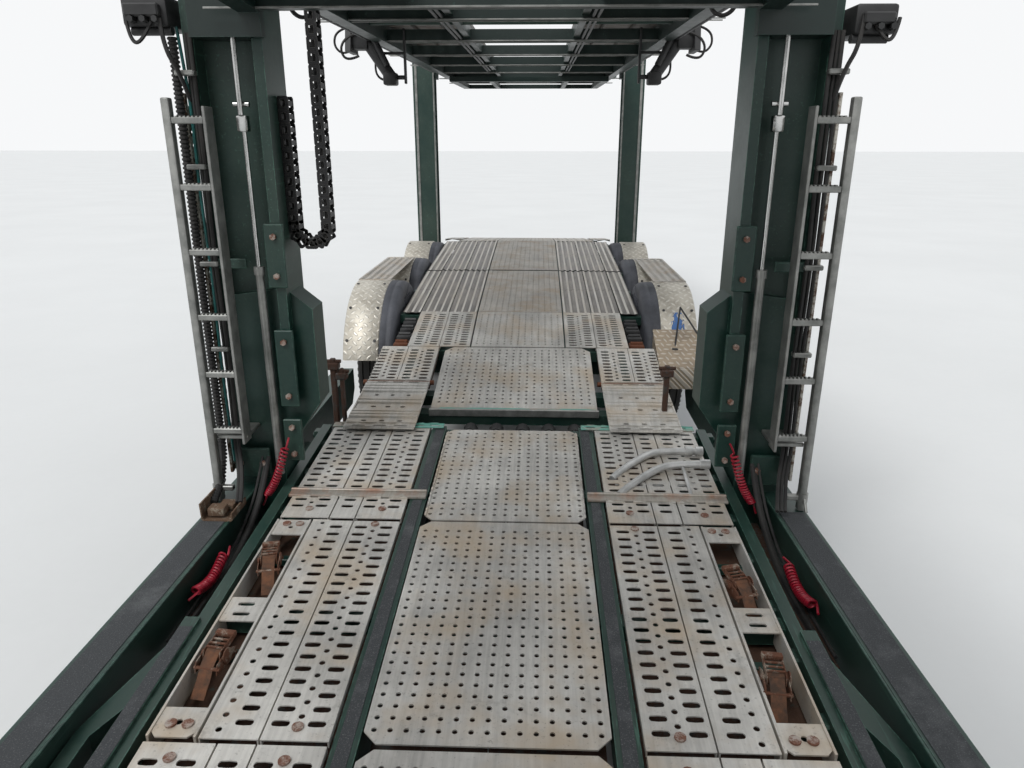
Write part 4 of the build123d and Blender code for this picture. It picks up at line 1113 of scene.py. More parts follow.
tools += blocks(((0.48, 0.655, 0.596), (0.9, 0.7, 0.604)), ((0.49, 0.52, 0.588), (0.915, 0.56, 0.596)))
tools.append(round_bar((0.8, 0.54, 0.596), (0.8, 0.79, 0.636), 0.008, 10, 0.002))
keep(tools, "tensioning_bars", tool_paint, "galvanised", "low_deck", 50)

# Middle deck front: painted strips, brackets, chocks and the blocks in the gaps beside the deck
strip_paint = flaking_turquoise()
end_strip = holed_sheet((0.356, 0.935), (1.196, 1.243), (0.05, 0.014), (0.406, 1.224), (0.078, 0.05),
    (holes_from(0.406, 0.905, 0.078), 1))
pair(thicken(end_strip, 0.003), "low_end_strips", strip_paint, "green_paint", "low_deck", deck=low_z,
    top=0.013)
keep(block((-0.455, 1.4525, 0.6555), (0.455, 1.512, 0.6585), 0.0008), "mid_front_strip", strip_paint,
    "green_paint")
keep(block((-0.468, 1.438, 0.618), (0.468, 1.452, 0.66)), "mid_front_lip", galvanised, "galvanised")
stands = []
for x_a, x_b, top in ((-0.984, -0.955, 0.955), (0.8, 0.828, 0.935), (-0.935, -0.915, 0.9)):
    stands += blocks(((x_a, 1.385, 0.57), (x_b, 1.415, top), 0.004), ((x_a - 0.02, 1.375, top - 0.06),
        (x_b + 0.02, 1.425, top - 0.02), 0.006))
    stands.append(round_bar((x_a - 0.03, 1.4, top - 0.015), (x_b + 0.03, 1.4, top - 0.015), 0.01, 10, 0.002))
keep(stands, "deck_side_stands", dark_steel, "galvanised", smooth=35)
chocks = []
for i in range(5):
    x = -0.231 + i * 0.141
    hood = [(-0.042, 0.535), (-0.038, 0.575), (-0.022, 0.598), (0, 0.605), (0.022, 0.598), (0.038, 0.575),
        (0.042, 0.535)]
    chocks.append(pressed([(x + a, z) for a, z in hood], 1, 1.3, 1.385, 0.005))
keep(chocks, "stowed_chocks", black_plastic, "chassis_black", smooth=45)
latch_y = 2.4
gap_blocks, gap_rust = [], []
for y in (2.27, latch_y, 2.53, 2.66, 2.79):
    z = mid_z(y) - 0.05
    fitting = [block((0.735, y - 0.05, z - 0.06), (0.835, y + 0.045, z), 0.01, 2),
        round_bar((0.745, y, z + 0.004), (0.825, y, z + 0.004), 0.013, 10, 0.003)]
    (gap_rust if y == latch_y else gap_blocks).extend(fitting)
pair(gap_blocks, "gap_fittings", black_plastic, "chassis_black", smooth=35)
pair(gap_rust, "gap_latches", rust, "galvanised", smooth=35)

# Dark sheets under the holed plates: painted shade, standing for the shade and the dark undercarriage seen
# through the holes
mid_shade = [block((x_a, y_a, -0.052), (x_b, y_b, -0.048), 0)
    for x_a, y_a, x_b, y_b in ((0.508, 1.77, 0.866, 2.206), (0.312, 2.224, 0.71, 2.828),
    (0.01, 1.47, 0.455, 2.2), (0.002, 2.224, 0.298, 2.828))]
pair(mid_shade, "mid_dirt_sheets", dark_steel, "chassis_black", deck=mid_z)
low_shade = blocks(((0.43, -1.9, -0.082), (0.772, 1.19, -0.078), 0), ((0.002, -1.85, -0.082),
    (0.33, 1.18, -0.078), 0))
pair(low_shade, "low_dirt_sheets", dark_steel, "chassis_black", "low_deck", deck=low_z)

# Front posts: toothed lift strips, rods, patch plates, hoses


def toothed_strip(x, y, z_low, z_high, pitch):
    """A lift strip with a row of teeth along one edge."""
    outline = [(y - 0.01, 0.004), (y + 0.006, 0.004), (y + 0.012, pitch * 0.3), (y + 0.012, pitch * 0.62),
        (y + 0.006, pitch - 0.004), (y - 0.01, pitch - 0.004)]
    tooth = formed(outline, 0, x - 0.006, x + 0.006, 0.0012)
    teeth = copies(tooth, [(0, 0, z_low + i * pitch) for i in range(int((z_high - z_low) / pitch))])
    return [teeth, block((x - 0.006, y - 0.03, z_low), (x + 0.006, y - 0.008, z_high), 0.001)]


pair(toothed_strip(1.243, 0.668, 0.64, 2.23, 0.05), "lift_strips", strip_metal, "galvanised")
sleeves = bars(((1.02, 0.64, 0.64), (1.02, 0.64, 1.56), 0.017, 16, 0.003), ((1.02, 0.64, 1.535),
    (1.02, 0.64, 1.568), 0.022, 16, 0.003))
pair(sleeves, "lift_sleeves", galvanised, "galvanised", smooth=40)
lift_rods = [round_bar((1.02, 0.64, 1.15), (1.02, 0.64, 2.1), 0.009, 16, 0.002),
    block((0.998, 0.622, 2.09), (1.042, 0.658, 2.15), 0.006, 2), round_bar((0.99, 0.64, 2.19),
    (1.05, 0.64, 2.19), 0.01, 12, 0.002), round_bar((1.02, 0.622, 2.15), (1.02, 0.622, 2.425), 0.01, 12,
    0.002)]
pair(lift_rods, "lift_rods", bright_steel, "galvanised", "upper_front", 40)

patches = [block((0.905, 0.632, z_a), (0.985, 0.65, z_b), 0.004) for z_a, z_b in ((0.705, 0.9),
    (0.96, 1.3), (1.48, 1.74))]
knobs = [round_bar((0.945, 0.634, z), (0.945, 0.618, z), 0.013, 6, 0.002) for z in (0.74, 0.865, 1.01,
    1.25, 1.53, 1.69)]
patches += blocks(((1.062, 0.634, 0.62), (1.222, 0.652, 0.76), 0.004), ((1.07, 0.634, 1.56),
    (1.215, 0.65, 1.6)))
knobs += [round_bar((x, 0.636, 0.69), (x, 0.618, 0.69), 0.015, 6, 0.002) for x in (1.09, 1.195)]
pair(patches, "post_patch_plates", green, "green_paint")
pair(knobs, "post_bolts", stained_bolt, "galvanised", smooth=35)

# Corrugated hose, thin hoses and a teal cable down the left post, three thin hoses down the right one
hose_way = [(-1.256, 0.64, 2.42), (-1.258, 0.634, 2.02), (-1.262, 0.628, 1.5), (-1.262, 0.626, 1.0),
    (-1.262, 0.616, 0.74), (-1.258, 0.56, 0.64), (-1.24, 0.42, 0.602)]
ring = spun([(-0.006, 0.014), (-0.003, 0.0185), (0.003, 0.0185), (0.006, 0.014)], (0, 0), 10)
ring_places = []
for a, b in zip(hose_way, hose_way[1:]):
    a, b = Vector(a), Vector(b)
    count = max(1, int((b - a).length / 0.016))
    turn = (b - a).to_track_quat("X", "Z").to_matrix().to_4x4()
    ring_places += [Matrix.Translation(a.lerp(b, i / count)) @ turn for i in range(count)]
keep([copies(ring, ring_places), pipe(hose_way, 0.0145, 10)], "ribbed_hose_left", black_rubber,
    "chain_plastic", smooth=30)
teal_way = [(-1.235, 0.64, 2.46), (-1.212, 0.636, 2.2), (-1.222, 0.632, 1.9), (-1.214, 0.63, 1.5),
    (-1.226, 0.63, 1.1), (-1.218, 0.628, 0.7)]
keep(pipe(teal_way, 0.006), "teal_cable_left", teal, "chain_plastic", smooth=60)
thin_hoses = []
for sign, ways in ((-1, ((1.205, 0.007), (1.19, 0.009))),
        (1, ((1.19, 0.009), (1.206, 0.007), (1.222, 0.008)))):
    for i, (x, radius) in enumerate(ways):
        way = [(x, 0.64, 2.44), (x - 0.008 + 0.004 * i, 0.634, 2.05), (x + 0.006, 0.632, 1.6),
            (x - 0.004, 0.632, 1.15), (x + 0.004, 0.63, 0.8), (x - 0.03, 0.56, 0.66),
            (x - 0.062, 0.43, 0.6)]
        thin_hoses.append(pipe([(sign * a, y, z) for a, y, z in way], radius))
keep(thin_hoses, "post_hoses", black_rubber, "chain_plastic", smooth=60)
clips = [block((1.18, 0.612, z - 0.01), (1.255, 0.65, z + 0.01), 0.004) for z in (0.86, 1.22, 1.58, 1.96,
    2.3)]
pair(clips, "hose_clips", galvanised, "galvanised")

# Wheels: tyres with shoulder blocks and grooves, rims with hand holes and nuts

LUGS = 56


def tyre(centre, radius, width, bore):
    """One tyre: rounded shoulders, four grooves, side wall rings, bead and shoulder lugs."""
    x, y, z = centre
    half = width / 2
    outline = [(-half * 0.62, bore), (-half * 0.86, bore + 0.01), (-half * 0.97, bore + 0.045),
        (-half, bore + 0.085), (-half * 0.985, radius - 0.066), (-half * 0.955, radius - 0.062),
        (-half * 0.965, radius - 0.04), (-half * 0.9, radius - 0.01), (-half * 0.84, radius - 0.002)]
    for groove in (-0.62 * half, -0.22 * half):
        outline += [(groove - 0.006, radius), (groove - 0.004, radius - 0.011),
            (groove + 0.004, radius - 0.011), (groove + 0.006, radius)]
    outline += [(-a, b) for a, b in reversed(outline)]
    shell = spun([(x + a, b) for a, b in outline], (y, z), LUGS)
    lug = block((-0.016, -0.011, -0.008), (0.016, 0.011, 0.0), 0.002)
    turns = []
    for sign in (-1, 1):
        lean = Matrix.Rotation(math.radians(sign * 24), 4, "Y")
        for i in range(LUGS):
            middle = Matrix.Translation((x + sign * (half * 0.93 - 0.012), y, z))
            turn = Matrix.Rotation(math.tau * i / LUGS, 4, "X")
            turns.append(middle @ turn @ Matrix.Translation((0, 0, radius - 0.0065)) @ lean)
    return joined([shell, copies(lug, turns)])


def around(centre, radius, count, start=0.0):
    """Places in a ring around a line across the vehicle."""
    turns = [math.tau * (i + start) / count for i in range(count)]
    return [(centre[1] + math.cos(turn) * radius, centre[2] + math.sin(turn) * radius) for turn in turns]


def dish(centre, radius, width, outward, deep):
    """A pressed wheel: flange, drop centre, a dish with ten hand holes. Gives its parts and its face's x."""
    x, y, z = centre
    half = width / 2
    barrel = [(-half * 0.66, radius), (-half * 0.7, radius + 0.002), (-half * 0.7, radius - 0.012),
        (-half * 0.6, radius - 0.016), (-half * 0.3, radius - 0.022)]
    barrel += [(-a, b) for a, b in reversed(barrel)]
    well = spun([(x + a, b) for a, b in barrel], (y, z), 40)
    add_modifier(well, "SOLIDIFY", thickness=0.004, offset=-1.0)
    face = x + outward * deep
    plate = [(face - outward * 0.11, radius - 0.02), (face - outward * 0.05, radius - 0.04),
        (face - outward * 0.01, radius * 0.7), (face, radius * 0.6), (face, radius * 0.35)]
    disc = spun(plate, (y, z), 40)
    add_modifier(disc, "SOLIDIFY", thickness=0.01, offset=0.0)
    cut_away(disc, joined([round_bar((x - 0.3, *at), (x + 0.3, *at), radius * 0.105, 16)
        for at in around(centre, radius * 0.735, 10)]))
    return [well, disc], face


def hub(face, centre, radius, outward):
    """Hub cap, studs and nuts on the dish."""
    cap = [(0.004, 0.36), (0.01, 0.34), (0.012, 0.26), (0.036, 0.25), (0.044, 0.2), (0.048, 0.0)]
    cap = spun([(face + outward * out, radius * share) for out, share in cap], centre[1:], 24)
    nut = joined(bars(((0, 0, 0), (outward * 0.02, 0, 0), 0.015, 6, 0.003),
        ((0, 0, 0), (outward * 0.03, 0, 0), 0.009, 10, 0.002)))
    return [cap, copies(nut, [(face + outward * 0.003, *at) for at in around(centre, radius * 0.47, 10,
        0.5)])]


# Width, bore, middles of its tyres and depth of the dish for each kind of wheel
WHEELS = {"trailer": (0.262, 0.248, (0.0,), -0.02), "front": (0.3, 0.286, (0.0,), 0.105),
    "drive": (0.29, 0.286, (-0.1675, 0.1675), -0.11)}
for name in sorted(nodes):
    kind, _, place = name.partition("_")
    if kind != "tyre":
        continue
    low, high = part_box(name)
    outward = -1 if place.endswith("left") else 1
    y, z = (low[1] + high[1]) / 2, (low[2] + high[2]) / 2
    radius = min((high[1] - low[1]) / 2, z) - 0.0005
    middle = (low[0] + high[0]) / 2
    width, bore, offsets, deep = WHEELS[place.split("_")[0]]
    centres = [(middle + offset, y, z) for offset in offsets]
    keep([tyre(centre, radius, width, bore) for centre in centres], "treaded_" + name, tyre_black,
        "tyre_rubber", "wheel_" + place, 32, [name])
    shells = []
    for centre, offset in zip(centres, offsets):
        facing = outward if offset * outward >= 0 else -outward
        parts, face = dish(centre, bore, width, facing, deep)
        shells += parts
        if facing == outward:
            shells += hub(face, centre, bore, outward)
    keep(shells, "pressed_rim_" + place, wheel_grey, "wheel_steel", "wheel_" + place, 35, ["rim_" + place])

# Upper decks: holed track planks, bright strips under the cross members as painted highlight on their lower
# edges, pipes, lift fittings

REAR_FIRST = 0.91
rear_spread = tail_y - 0.06 - REAR_FIRST


def upper_rear_z(y):
    """Underside of the rear upper deck's frame."""
    return 2.639 + 0.0222 * (y - REAR_FIRST)


def upper_front_z(y):
    """Underside of the front upper deck's frame."""
    return 2.5 - 0.064 * (y - 0.62)


for part, y_a, y_b, height in (("rear", 0.955, 8.23, upper_rear_z), ("front", -5.72, 0.59, upper_front_z)):
    tracks = []
    row_length = (y_b - y_a) / 9
    for i in range(9):
        start, stop = y_a + i * row_length, y_a + (i + 1) * row_length - 0.006
        counts = (2, holes_from(start + 0.06, stop - 0.045, 0.09))
        for x in ((0.345, 0.545), (0.551, 0.751), (0.757, 0.97)):
            tracks.append(holed_sheet(x, (start, stop), (0.062, 0.022), (x[0] + 0.052, start + 0.06),
                (0.098, 0.09), counts, 8))
    tracks = [thicken(joined(tracks), 0.004)]
    tracks += [block((x, y_a, -0.024), (x + 0.004, y_b, -0.003), 0) for x in (0.345, 0.541, 0.551, 0.747,
        0.757, 0.966)]
    upper_body = f"upper_{part}"
    deck_piece(tracks, f"upper_{part}_planks", deck_shade, upper_body, [f"upper_{part}_tracks"], both=True,
        deck=height, top=0.134)

# Bright strips along the cross members' lower edges: painted highlight where light catches them.
highlight_strips = []
for i in range(8):
    y = REAR_FIRST + i * rear_spread / 7
    z = upper_rear_z(y)
    for offset in (-0.004, 0.06 if i == 7 else 0.064):
        highlight_strips.append(block((-1.09, y + offset - 0.004, z + 0.006), (1.09, y + offset, z + 0.013), 0.001))
keep(highlight_strips, "upper_rear_lips", galvanised, "galvanised", "upper_rear")
highlight_strips = []
front_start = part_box("upper_front_frame")[0][1]
for i in range(7):
    y = front_start + i * (0.56 - front_start) / 6
    z = upper_front_z(y)
    highlight_strips.append(block((-1.09, y - 0.008, z + 0.003), (1.09, y - 0.001, z + 0.01), 0.001))
keep(highlight_strips, "upper_front_highlight_strips", galvanised, "galvanised", "upper_front")

# Cross tubes between the main members, pipes along them and small brackets
tubes = []
for i in range(7):
    y = REAR_FIRST + (i + 0.5) * rear_spread / 7
    z = upper_rear_z(y)
    tubes.append(round_bar((-1.085, y, z + 0.06), (1.085, y, z + 0.06), 0.016))
    for x in (-1.04, 1.04):
        tubes.append(block((x - 0.03, y - 0.04, z + 0.03), (x + 0.03, y + 0.04, z + 0.085), 0.006))
keep(tubes, "upper_cross_tubes", green, "green_paint", "upper_rear", 35)
pipes = [pipe([(x, y, upper_rear_z(y) + drop) for y in (0.99, 2.2, 3.4, 4.9, 6.0)], 0.008)
    for x, drop in ((0.4, 0.022), (0.425, 0.018), (1.01, 0.01))]
pair(pipes, "upper_pipes", black_plastic, "chain_plastic", "upper_rear", 50)

# Hanging lift arms under the rear upper deck, with their cylinders and looped hoses
arms = bars(((1.09, 2.99, 2.77), (0.88, 2.99, 2.47), 0.04, 14, 0.006),
    ((1.0, 2.96, 2.74), (0.9, 2.96, 2.54), 0.022, 12, 0.003))
arms += blocks(((1.02, 2.93, 2.64), (1.16, 3.05, 2.78), 0.012, 2), ((0.84, 2.94, 2.42), (0.93, 3.04, 2.5),
    0.012, 2), ((0.776, 2.97, 2.43), (0.79, 3.01, 2.77)))
arms += bars(((0.78, 2.99, 2.47), (0.9, 2.99, 2.47), 0.014, 12, 0.003),
    ((0.78, 2.99, 2.62), (0.98, 2.99, 2.62), 0.009, 10, 0.002))
arms.append(formed([(2.88, 2.62), (3.1, 2.62), (3.06, 2.76), (2.92, 2.76)], 0, 1.12, 1.16, 0.004))
pair(arms, "upper_lift_arms", black_plastic, "chassis_black", "upper_rear", 35)
loops = [pipe(way, radius)
    for radius, way in ((0.009, [(1.06, 2.94, 2.74), (1.14, 2.9, 2.72), (1.2, 2.9, 2.64), (1.16, 2.92, 2.56),
    (1.08, 2.94, 2.6)]), (0.008, [(1.12, 2.96, 2.78), (1.22, 2.94, 2.76), (1.25, 2.94, 2.66),
    (1.18, 2.96, 2.6), (1.1, 2.98, 2.66)]), (0.008, [(0.98, 3.06, 2.66), (1.02, 3.1, 2.54),
    (0.98, 3.1, 2.46), (0.92, 3.06, 2.46)]), (0.009, [(0.8, 1.02, 2.67), (0.8, 1.0, 2.57),
    (0.86, 0.98, 2.53), (0.92, 0.99, 2.58), (0.93, 1.0, 2.68)]))]
pair(loops, "upper_hose_loops", black_rubber, "chain_plastic", "upper_rear", 60)

# Lift carriages outside the front posts with bolts and hanging cable loops
carriages, cable_loops = [], []
for sign, x_b, z_a, z_b in ((-1, 1.41, 2.455, 2.56), (1, 1.39, 2.42, 2.52)):
    low_x, high_x = sorted((sign * 1.24, sign * x_b))
    carriages += blocks(((low_x, 0.59, z_a), (high_x, 0.8, z_b), 0.012, 2),
        ((low_x + 0.02, 0.56, z_a + 0.03), (high_x - 0.02, 0.592, z_b - 0.03), 0.006))
    carriages += [round_bar((sign * x, 0.556, z_a + 0.022), (sign * x, 0.592, z_a + 0.022), 0.012, 6,
        0.002) for x in (1.275, 1.32, 1.365)]
    carriages.append(round_bar((sign * 1.24, 0.62, z_a - 0.012), (sign * (x_b - 0.02), 0.62, z_a - 0.012),
        0.016, 12, 0.003))
keep(carriages, "lift_carriages", black_plastic, "chassis_black", smooth=35)
for sign in (-1, 1):
    for radius, way in ((0.007, ((1.3, 0.585, 2.47), (1.33, 0.56, 2.4), (1.37, 0.555, 2.395),
            (1.385, 0.57, 2.47))), (0.008, ((1.265, 0.58, 2.48), (1.255, 0.56, 2.38), (1.225, 0.6, 2.3),
            (1.215, 0.64, 2.2)))):
        cable_loops.append(pipe([(sign * x, y, z) for x, y, z in way], radius))
keep(cable_loops, "carriage_cables", black_rubber, "chain_plastic", smooth=60)

# Rear posts: bright wear strips on the edges
wear = blocks(((1.008, 6.06, 0.72), (1.022, 6.066, 3.14), 0.001), ((1.19, 6.058, 0.72),
    (1.215, 6.066, 3.14), 0.001))
pair(wear, "rear_wear_strips", galvanised, "galvanised")

# Energy chain: side links with windows along the hanging path, cross pins and cables inside

(chain_left, chain_front, _), (chain_right, chain_back, _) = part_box("energy_chain")
LINK = 0.05
HALF_LINK = 0.0225
TURN_Z = 1.7155
TURN_STEPS = 6
chain_middle = (chain_left + chain_right) / 2
reach = (chain_right - chain_left) / 2 - HALF_LINK
path = []
z = 2.2
while z > TURN_Z + 0.001:
    path.append((chain_middle - reach, z, 0.0))
    z -= LINK
for i in range(TURN_STEPS + 1):
    turn = math.pi * i / TURN_STEPS
    path.append((chain_middle - reach * math.cos(turn), TURN_Z - reach * math.sin(turn), turn))
z = TURN_Z + LINK
while z < 2.54:
    path.append((chain_middle + reach, z, math.pi))
    z += LINK
link_outline = [(-0.0225, -0.02), (-0.018, -0.027), (0.018, -0.027), (0.0225, -0.02), (0.0225, 0.02),
    (0.018, 0.027), (-0.018, 0.027), (-0.0225, 0.02)]
cheek = formed(link_outline, 1, 0.0, 0.007, 0.0015)
cut_away(cheek, block((-0.01, -0.02, -0.014), (0.01, 0.02, 0.014), 0))
across = chain_back - chain_front
link = [copies(cheek, [(0, 0.001, 0), (0, across - 0.008, 0)])]
link += blocks(((-0.021, 0.007, -0.01), (-0.016, across - 0.007, 0.01), 0.001), ((0.016, 0.007, -0.01),
    (0.021, across - 0.007, 0.01), 0.001))
moves = [Matrix.Translation((x, chain_front, z)) @ Matrix.Rotation(turn, 4, "Y") for x, z, turn in path]
keep(copies(joined(link), moves), "energy_chain_links", worn_chain(), "chain_plastic", smooth=20,
    stands_for=["energy_chain"])
cables = [pipe([(x, chain_front + offset, z) for x, z, turn in path], radius)
    for offset, radius in ((0.018, 0.006), (0.034, 0.008), (0.05, 0.006))]
keep(cables, "chain_cables", black_rubber, "chain_plastic", smooth=60)

# Ladders: stiles with rolled edges, toothed rungs, foot clamps and levers
ladder = blocks(((1.24, 0.507, 0.562), (1.272, 0.543, 2.208), 0.006, 2), ((1.11, 0.507, 0.832),
    (1.121, 0.583, 2.178), 0.002), ((1.108, 0.535, 0.846), (1.24, 0.688, 0.864)))
tooth = formed([(0.512, 0.0), (0.538, 0.0), (0.534, 0.005), (0.516, 0.005)], 0, 0, 0.009, 0.001)
tooth_places = []
for z in (0.892, 1.141, 1.382, 1.643, 1.889, 2.13):
    ladder.append(block((1.12, 0.51, z - 0.013), (1.242, 0.54, z + 0.01)))
    tooth_places += [(1.126 + 0.0155 * i, 0, z + 0.01) for i in range(7)]
ladder += [copies(tooth, tooth_places), round_bar((1.258, 0.525, 0.6), (1.258, 0.525, 0.64), 0.024, 16,
    0.003), block((1.19, 0.512, 0.61), (1.245, 0.538, 0.632)), round_bar((1.262, 0.506, 0.62),
    (1.262, 0.47, 0.575), 0.007, 10, 0.002)]
pair(ladder, "toothed_ladders", galvanised, "galvanised", smooth=35, stands_for=["ladders"])

# Tractor: lamps, bumper trim, grille mesh, seams, wipers, roof lamps, mirror glass, steps, door and tank
# trim, catwalk

nose_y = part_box("front_bumper")[0][1]


def on_nose(x, z, stands_out, deep, edge, segments=1):
    """A block on the bumper's face, from stands_out ahead of it to deep behind it."""
    return block((x[0], nose_y - stands_out, z[0]), (x[1], nose_y + deep, z[1]), edge, segments)


lamp = on_nose((0.775, 0.925), (0.485, 0.595), -0.004, 0.02, 0.005, 2)
blinker = on_nose((0.94, 1.045), (0.485, 0.595), -0.004, 0.02, 0.005, 2)
bezels = [on_nose(x, z, -0.001, 0.018, 0.002) for x, z in (((0.764, 0.772), (0.476, 0.604)),
    ((0.928, 0.937), (0.476, 0.604)), ((1.048, 1.056), (0.476, 0.604)), ((0.764, 1.056), (0.474, 0.483)),
    ((0.764, 1.056), (0.597, 0.606)))]
pair(lamp, "head_lamps", lamp_glass(), "windscreen_glass", "tractor")
pair(blinker, "front_indicators", amber, "trim_plastic", "tractor")
pair(bezels, "lamp_bezels", black_plastic, "cab_plastic", "tractor")
bumper_trim = [on_nose((-0.56, 0.56), (0.372, 0.44), 0.0006, 0.002, 0.002), on_nose((-0.37, 0.37),
    (0.64, 0.648), 0.0008, 0.002, 0.001)]
bumper_trim += [on_nose((-0.545, 0.545), (0.382 + 0.011 * i, 0.387 + 0.011 * i), 0.0012, 0.002, 0.0005)
    for i in range(5)]
keep(bumper_trim, "bumper_grille", black_plastic, "cab_plastic", "tractor")
keep(on_nose((-0.26, 0.26), (0.5, 0.61), 0.0012, 0.002, 0.001), "front_blank_plate", plate_white,
    "cab_plastic", "tractor")
eyes = [round_bar((x, nose_y - 0.0012, 0.69), (x, nose_y + 0.004, 0.69), 0.03, 20, 0.001)
    for x in (-0.52, 0.52)]
keep(eyes, "tow_eye_covers", black_plastic, "cab_plastic", "tractor", 35)

(_, face_y, _), (cab_side, _, _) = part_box("cab_shell")
mesh = holed_sheet((-0.88, 0.88), (0.9, 1.362), (0.02, 0.01), (-0.862, 0.914), (0.0265, 0.018), (66, 25), 8)
moved(thicken(mesh, 0.003), Matrix.Translation((0, -8.205, 0)) @ Matrix.Rotation(math.radians(90), 4, "X"))
keep(mesh, "grille_mesh", black_plastic, "cab_plastic", "cab")
seams = []
for x in (-cab_side - 0.0005, cab_side + 0.0005):
    for y_a, y_b, z_a, z_b in ((-8.035, -8.029, 0.8, 2.5), (-6.76, -6.754, 0.9, 2.56),
            (-6.75, -6.33, 1.32, 1.326)):
        seams.append(block((x - 0.002, y_a, z_a), (x + 0.002, y_b, z_b), 0))
seams += [block((-1.02, face_y - 0.001, z), (1.02, face_y + 0.003, z + 0.006), 0) for z in (1.56, 0.78)]
keep(seams, "cab_seams", black_rubber, "cab_plastic", "cab")
wipers = []
for x in (-0.72, 0.02, 0.62):
    wipers += bars(((x, -8.172, 1.64), (x, -8.15, 1.64), 0.022, 14, 0.003),
        ((x, -8.172, 1.642), (x + 0.3, -8.166, 1.73), 0.007, 8, 0.001))
    wipers.append(block((x + 0.02, -8.168, 1.722), (x + 0.56, -8.158, 1.736), 0.002))
keep(wipers, "wipers", black_plastic, "cab_plastic", "cab", 35)
roof_lamps = [block((x - 0.045, -8.13, 2.585), (x + 0.045, -8.06, 2.612), 0.008, 2)
    for x in (-0.86, -0.43, 0.0, 0.43, 0.86)]
keep(roof_lamps, "roof_markers", amber, "cab_plastic", "cab", 35)
screen_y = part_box("cab_glass")[0][1]
gaskets = [block((-1.078, screen_y - 0.004, z), (1.078, screen_y + 0.006, z + 0.016), 0.002)
    for z in (1.676, 2.488)]
keep(gaskets, "screen_rubber", black_rubber, "cab_plastic", "cab")
glasses = blocks(((1.312, -8.01, 1.915), (1.468, -8.004, 2.24)), ((1.312, -8.01, 1.705),
    (1.468, -8.004, 1.868)))
pair(glasses, "mirror_glasses", mirror_glass, "windscreen_glass", "cab")

steps = []
for z_a, z_b in ((0.402, 0.414), (0.562, 0.574)):
    steps.append(block((1.06, -7.91, z_a), (1.196, -7.65, z_b), 0.002))
    steps += [block((x, -7.905, z_b), (x + 0.004, -7.655, z_b + 0.006), 0.001) for x in (1.07 + 0.014 * i
        for i in range(8))]
pair(steps, "entry_steps", galvanised, "galvanised", "tractor")
for side, sign in SIDES:
    skin = sign * 1.2345
    handles = blocks(((min(skin, skin + sign * 0.01), -7.135, 1.548), (max(skin, skin + sign * 0.01),
        -6.985, 1.56), 0.002), ((min(skin, skin + sign * 0.006), -7.12, 1.64),
        (max(skin, skin + sign * 0.006), -7.09, 1.67), 0.002))
    keep(handles, f"door_trim_{side}", black_plastic, "cab_plastic", f"door_{side}")
    low_x, high_x = sorted((sign * 1.227, sign * 1.233))
    moulding = block((low_x, -7.9, 1.12), (high_x, -6.86, 1.15), 0.002)
    keep(moulding, f"door_moulding_{side}", cab_white, "cab_paint", f"door_{side}")

caps = []
for x, y in ((-1.06, -5.78), (1.06, -5.66)):
    caps += [round_bar((x, y, 0.64), (x, y, 0.672), 0.048, 20, 0.005), block((x - 0.012, y - 0.04, 0.668),
        (x + 0.012, y + 0.04, 0.682))]
keep(caps, "tank_caps", black_plastic, "cab_plastic", "tractor", 35)
catwalk = moved(ribbed_plank((-0.4, 0.4), (-6.02, -5.4), 0.05, 0.008), (0, 0, 0.965))
keep(catwalk, "catwalk", far_plate_metal, "tank_aluminium", "tractor")
for i, (x, finish) in enumerate(((-0.2, coil_red), (0.0, black_rubber), (0.2, black_rubber))):
    stack = coil((x, -5.56, 1.02), (x, -5.52, 1.42), 0.035, 0.006, 12)
    keep(stack, f"air_line_{i + 1}", finish, "chain_plastic", "tractor", 60)
rack = bars(((-0.3, -5.54, 0.96), (-0.3, -5.54, 1.5), 0.014, 12, 0.002),
    ((0.3, -5.54, 0.96), (0.3, -5.54, 1.5), 0.014, 12, 0.002), ((-0.32, -5.54, 1.48), (0.32, -5.54, 1.48),
    0.012, 12, 0.002))
keep(rack, "air_line_rack", black_plastic, "chassis_black", "tractor", 35)

# Trailer rear and sides: lamps, markers, blank plate
for part, x_a, x_b, finish in (("stop", 0.785, 0.895, red_lens), ("turn", 0.925, 1.035, amber),
        ("reverse", 1.065, 1.19, white_lens)):
    lens = block((x_a, 8.21, 0.434), (x_b, 8.224, 0.506), 0.004, 2)
    pair(lens, f"rear_{part}_lamps", finish, "trim_plastic")
keep(block((-0.26, 8.174, 0.405), (0.26, 8.182, 0.515)), "rear_blank_plate", plate_white, "trim_plastic")
markers, marker_feet = [], []
for y in (-1.6, 0.0, 1.6):
    marker_feet.append(block((1.263, y - 0.07, 0.47), (1.279, y + 0.07, 0.53)))
    markers.append(block((1.275, y - 0.055, 0.48), (1.289, y + 0.055, 0.52), 0.005, 2))
pair(markers, "side_markers", amber, "trim_plastic", smooth=35)
pair(marker_feet, "side_marker_feet", black_plastic, "trim_plastic")

# Underbody: belly sheets below the openings and air tanks

belly_z = low_z(-1.0) - 0.085
belly = pressed([(0.775, belly_z), (0.79, belly_z - 0.025), (0.975, belly_z - 0.025), (0.99, belly_z)], 1,
    -1.88, 1.2, 0.004)
pair(follow(belly, lambda y: LOW_SLOPE * (y + 1.0)), "low_belly_sheets", belly_steel, "chassis_black",
    "low_deck")
tanks = []
for y in (2.62, 5.95):
    end = [(-0.45, 0.0), (-0.44, 0.07), (-0.41, 0.11), (-0.38, 0.12)]
    tanks.append(spun(end + [(-x, radius) for x, radius in reversed(end)], (y, 0.52), 24))
    tanks += [block((x - 0.02, y - 0.124, 0.5), (x + 0.02, y + 0.124, 0.655), 0.004) for x in (-0.25, 0.25)]
keep(tanks, "air_tanks", black_plastic, "chassis_black", smooth=35)

# Finishes of the solids that stay

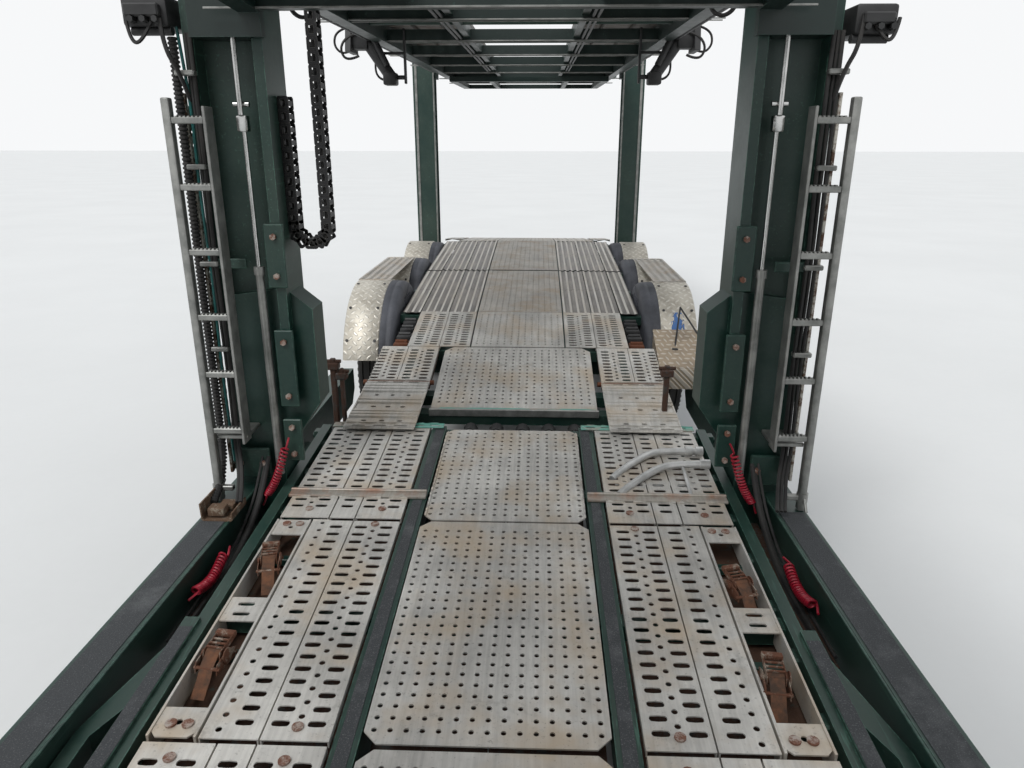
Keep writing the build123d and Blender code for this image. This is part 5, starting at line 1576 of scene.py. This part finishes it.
tread_plate = chequer("tread_plate", lambda f: f.axis("x"), lambda f: f.axis("y"), (222, 218, 206),
    (190, 184, 172))
SOLIDS = ((green, ("trailer_frame", "low_deck_frame", "mid_deck_bearers", "front_posts", "channel_posts")),
    (shade_green, ("upper_rear_frame", "upper_front_frame", "upper_extension")),
    (sill_black, ("trailer_axles", "chock_rack", "rear_bumper", "tractor_frame", "front_axle",
    "knuckle_left", "knuckle_right", "drive_axle", "fifth_wheel")),
    (galvanised, ("landing_legs", "ladders")), (tread_plate, ("arch_plates",)),
    (guard_plastic, ("mudguards",)), (plate_metal, ("loading_ramps", "track_flap_left", "track_flap_right",
    "deck_plates", "low_deck_plates")), (far_plate_metal, ("upper_rear_tracks", "upper_front_tracks")),
    (chain_black, ("energy_chain",)), (engine_cast, ("engine",)), (tank_metal, ("side_tanks",)),
    (black_plastic, ("tractor_mudguards", "cab_trim")),
    (cab_white, ("front_bumper", "cab_shell", "door_left", "door_right")),
    (tinted_glass(), ("cab_glass",)), (seat_cloth, ("cab_interior",)),
    (tyre_black, [name for name in nodes if name.startswith("tyre_")]),
    (wheel_grey, [name for name in nodes if name.startswith("rim_")]))
for finish, names in SOLIDS:
    for name in names:
        for place in nodes[name].material_slots:
            place.material = finish

# Camera, lamps and floor

camera = bpy.data.objects.new("camera", bpy.data.cameras.new("camera"))
bpy.context.collection.objects.link(camera)
camera.location = (0.122, -2.315, 2.05)
camera.rotation_euler = [math.radians(a) for a in (71.728304, -0.049215, 2.011506)]
camera.data.lens = 25.66
camera.data.sensor_width = 36
camera.data.clip_end = 200
bpy.context.scene.camera = camera

clear_selection()
bpy.ops.mesh.primitive_plane_add(size=400, location=(0, 0, -0.002))
floor = bpy.context.object
floor.name = "floor"
floor.data.materials.append(plain("floor", (226, 226, 224), (222, 222, 220), 0.9, 0.0, 0.4, 0.0))

world = bpy.data.worlds.new("studio")
bpy.context.scene.world = world
world.use_nodes = True
tree = world.node_tree
lighting = tree.nodes["Background"]
seen = tree.nodes.new("ShaderNodeBackground")
for background, colour, strength in ((lighting, (0.86, 0.9, 0.95, 1), 0.7), (seen, (0.93, 0.94, 0.95, 1),
        1.0)):
    background.inputs["Color"].default_value = colour
    background.inputs["Strength"].default_value = strength
ray = tree.nodes.new("ShaderNodeLightPath")
either = tree.nodes.new("ShaderNodeMixShader")
shown = ray.outputs["Is Camera Ray"]
for kind in ("Is Glossy Ray", "Is Transmission Ray"):
    more = tree.nodes.new("ShaderNodeMath")
    more.operation = "MAXIMUM"
    tree.links.new(shown, more.inputs[0])
    tree.links.new(ray.outputs[kind], more.inputs[1])
    shown = more.outputs[0]
for index, output in enumerate((shown, lighting.outputs[0], seen.outputs[0])):
    tree.links.new(output, either.inputs[index])
tree.links.new(either.outputs[0], tree.nodes["World Output"].inputs["Surface"])

sun = bpy.data.objects.new("sun", bpy.data.lights.new("sun", "SUN"))
bpy.context.collection.objects.link(sun)
sun.data.energy = 1.8
sun.data.angle = math.radians(25)
sun.rotation_euler = (math.radians(32), math.radians(-20), 0)

bpy.context.scene.view_settings.view_transform = "Standard"
